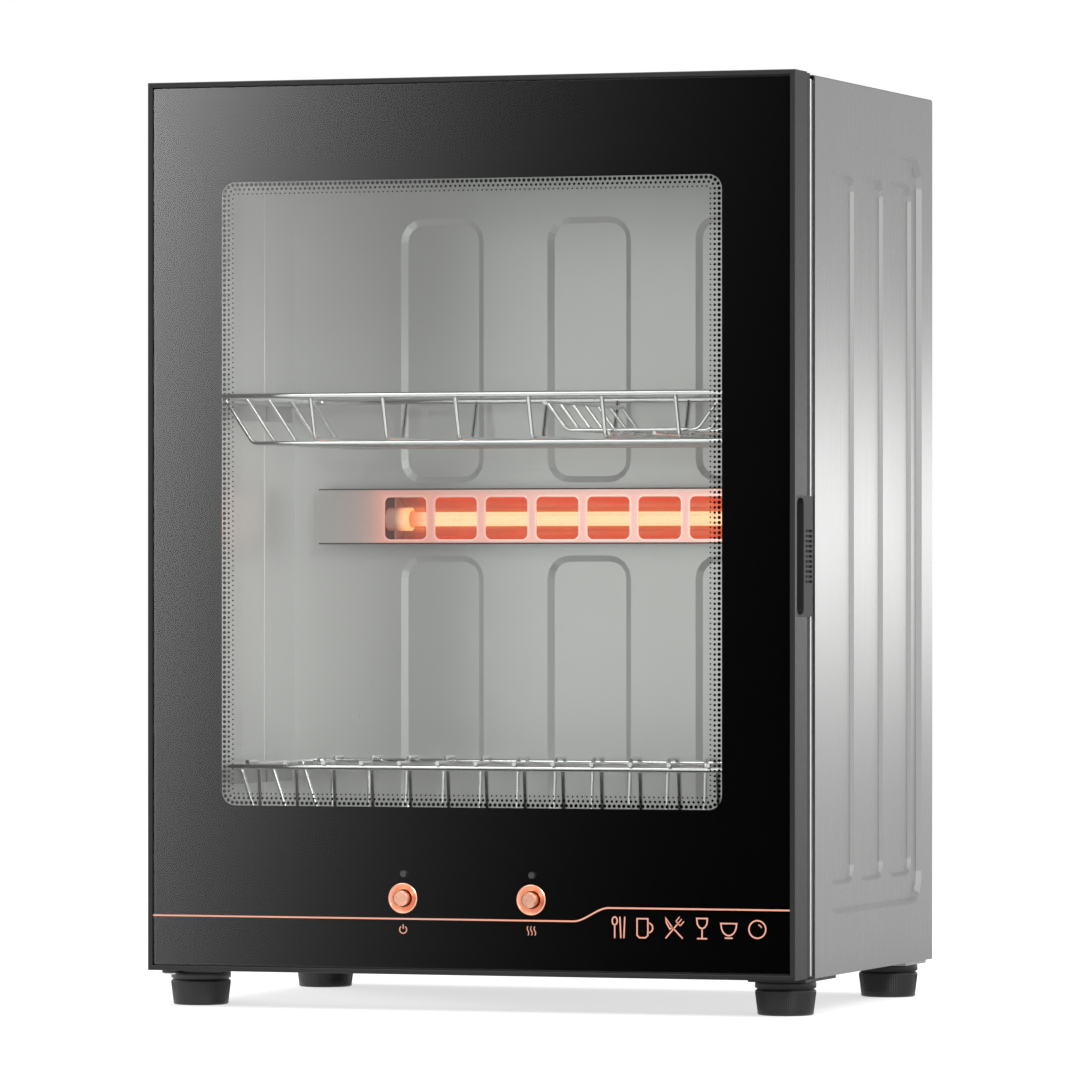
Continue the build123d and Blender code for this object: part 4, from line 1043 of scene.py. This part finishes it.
def make_edge_print():
    """The film's black edge on the back of the glass, over the ledge of the frame."""
    bm = bmesh.new()
    outer = [(sx * (DOOR_HALF - 4.3), DOOR_HEIGHT / 2 + sz * (DOOR_HEIGHT / 2 - 4.3))
             for sx, sz in ((-1, -1), (1, -1), (1, 1), (-1, 1))]
    inner = [(sx * (DOOR_HALF - 12.6), DOOR_HEIGHT / 2 + sz * (DOOR_HEIGHT / 2 - 12.6))
             for sx, sz in ((-1, -1), (1, -1), (1, 1), (-1, 1))]
    rings = [[bm.verts.new(place(x, y, z)) for x, z in ring]
             for y in (GLASS_BACK_Y + 0.02, GLASS_BACK_Y + 0.08) for ring in (outer, inner)]
    for k in range(4):
        n = (k + 1) % 4
        for a, b in ((0, 1), (1, 3), (3, 2), (2, 0)):
            bm.faces.new((rings[a][k], rings[a][n], rings[b][n], rings[b][k]))
    finish_piece("edge_print", mesh_from(bm, "edge_print"), "black_print", "door")


make_edge_print()


# ---------------------------------------------------------------- studio
def stage_piece(name, corners, faces, finish):
    mesh = bpy.data.meshes.new(name)
    mesh.from_pydata(corners, [], faces)
    mesh.materials.append(finish)
    piece = bpy.data.objects.new(name, mesh)
    bpy.context.scene.collection.objects.link(piece)
    return piece


def background_ray(finish):
    """One for a ray from the camera, a mirror or through glass, else nought."""
    camera = finish.add("ShaderNodeLightPath", output="Is Camera Ray")
    mirror = finish.add("ShaderNodeLightPath", output="Is Glossy Ray")
    glass = finish.add("ShaderNodeLightPath", output="Is Transmission Ray")
    return camera.at_least(mirror.at_least(glass))


def floor_finish():
    """White to the camera where nothing shades it, plain pale grey to the object's own light."""
    finish = Finish("pale_floor")
    pale = finish.add("ShaderNodeBsdfDiffuse", sockets={"Color": grey(0.80)})
    seen = finish.add("ShaderNodeAddShader", sockets={
        0: finish.add("ShaderNodeBsdfDiffuse", sockets={"Color": grey(0.60)}),
        1: finish.add("ShaderNodeEmission", sockets={"Color": grey(1.0), "Strength": 0.64})})
    finish.show(finish.add("ShaderNodeMixShader", sockets={
        0: background_ray(finish), 1: pale, 2: seen}))
    return finish.material


def world_light():
    """Even pale light from all round, white where it is seen."""
    world = bpy.data.worlds.new("studio")
    bpy.context.scene.world = world
    studio = Finish("studio", world)
    around = studio.add("ShaderNodeBackground", sockets={"Color": grey(1.0), "Strength": 0.62})
    seen = studio.add("ShaderNodeBackground", sockets={"Color": grey(1.0), "Strength": 1.0})
    studio.show(studio.add("ShaderNodeMixShader", sockets={
        0: background_ray(studio), 1: around, 2: seen}), "ShaderNodeOutputWorld")


def lamp(name, at, aim, size, power):
    """A square soft box at one point that faces another."""
    light = bpy.data.lights.new(name, "AREA")
    light.size = size
    light.energy = power
    box = bpy.data.objects.new(name, light)
    box.location = at
    box.rotation_euler = (Vector(aim) - Vector(at)).to_track_quat("-Z", "Y").to_euler()
    bpy.context.scene.collection.objects.link(box)


def mirror_card_finish():
    """Soft glow that the front glass mirrors: strong at its left and top, fading to the right.

    A ray that has been through the glass sees an even card instead.
    """
    glass_y, eye_distance = -0.163, 4.904
    lean_x, lean_z = 0.3485, 0.05905
    finish = Finish("glass_card")
    x, y, z = finish.axis("X"), finish.axis("Y"), finish.axis("Z")
    # Where the mirrored ray left the glass: nought to one across the door and up it.
    depth = glass_y - y
    shrink = depth / eye_distance + 1.0
    across = ((x + depth * lean_x) / shrink + DOOR_HALF / 1000) / (DOOR_HALF / 500)
    up = ((z + depth * lean_z) / shrink - FOOT_HEIGHT / 1000) / (DOOR_HEIGHT / 1000)
    rise = up.at_least(0.0) ** 1.3
    fade = ((rise * -1.1 + 4.0 + across * 1.5) * across).fade()
    glow = ((rise * 0.179 + 0.080) * fade / 0.0395).at_most(7.0)
    inside = finish.add("ShaderNodeLightPath", output="Transparent Depth").at_most(1.0)
    finish.show(finish.add("ShaderNodeEmission", sockets={
        "Color": grey(1.0), "Strength": glow * (1 - inside) + inside * 0.95}))
    return finish.material


def side_card_finish():
    """Grey card with a lighter band across its middle for the steel side to mirror."""
    band_z, band_over, band_under = 0.378, 6.8, 4.8
    finish = Finish("side_card")
    high = finish.axis("Z") - band_z
    over = high.at_least(0.0) * band_over
    under = high.at_most(0.0) * band_under
    band = (over * over + under * under).fade()
    beside = (finish.axis("X") * 1.3 + 0.4).at_least(0.10).at_most(1.0)
    finish.show(finish.add("ShaderNodeEmission", sockets={
        "Color": grey(1.0), "Strength": (band * 1.42 + 0.56) * beside}))
    return finish.material


def only_in_mirrors(piece):
    """Hides a stage card from everything but reflections."""
    piece.visible_camera = False
    piece.visible_diffuse = False
    piece.visible_shadow = False
    piece.visible_transmission = False


stage_piece("floor", [(-40, -40, 0), (40, -40, 0), (40, 40, 0), (-40, 40, 0)], [(0, 1, 2, 3)],
            floor_finish())
glass_card = stage_piece("glass_card", [
    (-0.50, -0.55, 0.004), (0.16, -0.55, 0.004), (-0.86, -4.0, 0.004), (-1.82, -4.0, 0.004),
    (-0.86, -4.0, 0.95), (-1.82, -4.0, 0.95)], [(0, 3, 2, 1), (3, 5, 4, 2)],
    mirror_card_finish())
side_card = stage_piece("side_card", [
    (-4.0, 4.0, 0.004), (9.0, 4.0, 0.004), (9.0, 4.0, 5.0), (-4.0, 4.0, 5.0),
    (0.3, -0.4, 0.004), (9.0, -0.4, 0.004)], [(0, 1, 2, 3), (4, 5, 1, 0)], side_card_finish())
for card in (glass_card, side_card):
    only_in_mirrors(card)

world_light()
CABINET_MIDDLE = (0, 0, 0.3)
lamp("key_box", (-2.2, -3.6, 3.4), CABINET_MIDDLE, 2.6, 62)
lamp("fill_box", (1.9, -2.3, 1.9), CABINET_MIDDLE, 1.3, 48)
lamp("top_box", (0.0, 0.6, 4.2), CABINET_MIDDLE, 2.4, 45)

eye = bpy.data.cameras.new("view")
eye.lens = 259.5
eye.sensor_width = 36.0
eye.shift_y = 0.036
eye.clip_end = 200.0
camera = bpy.data.objects.new("view", eye)
camera.location = (1.7087, -5.0673, 0.2896)
camera.rotation_euler = (radians(90), 0, radians(18.67))
bpy.context.scene.collection.objects.link(camera)
bpy.context.scene.camera = camera
bpy.context.scene.view_settings.view_transform = "Standard"
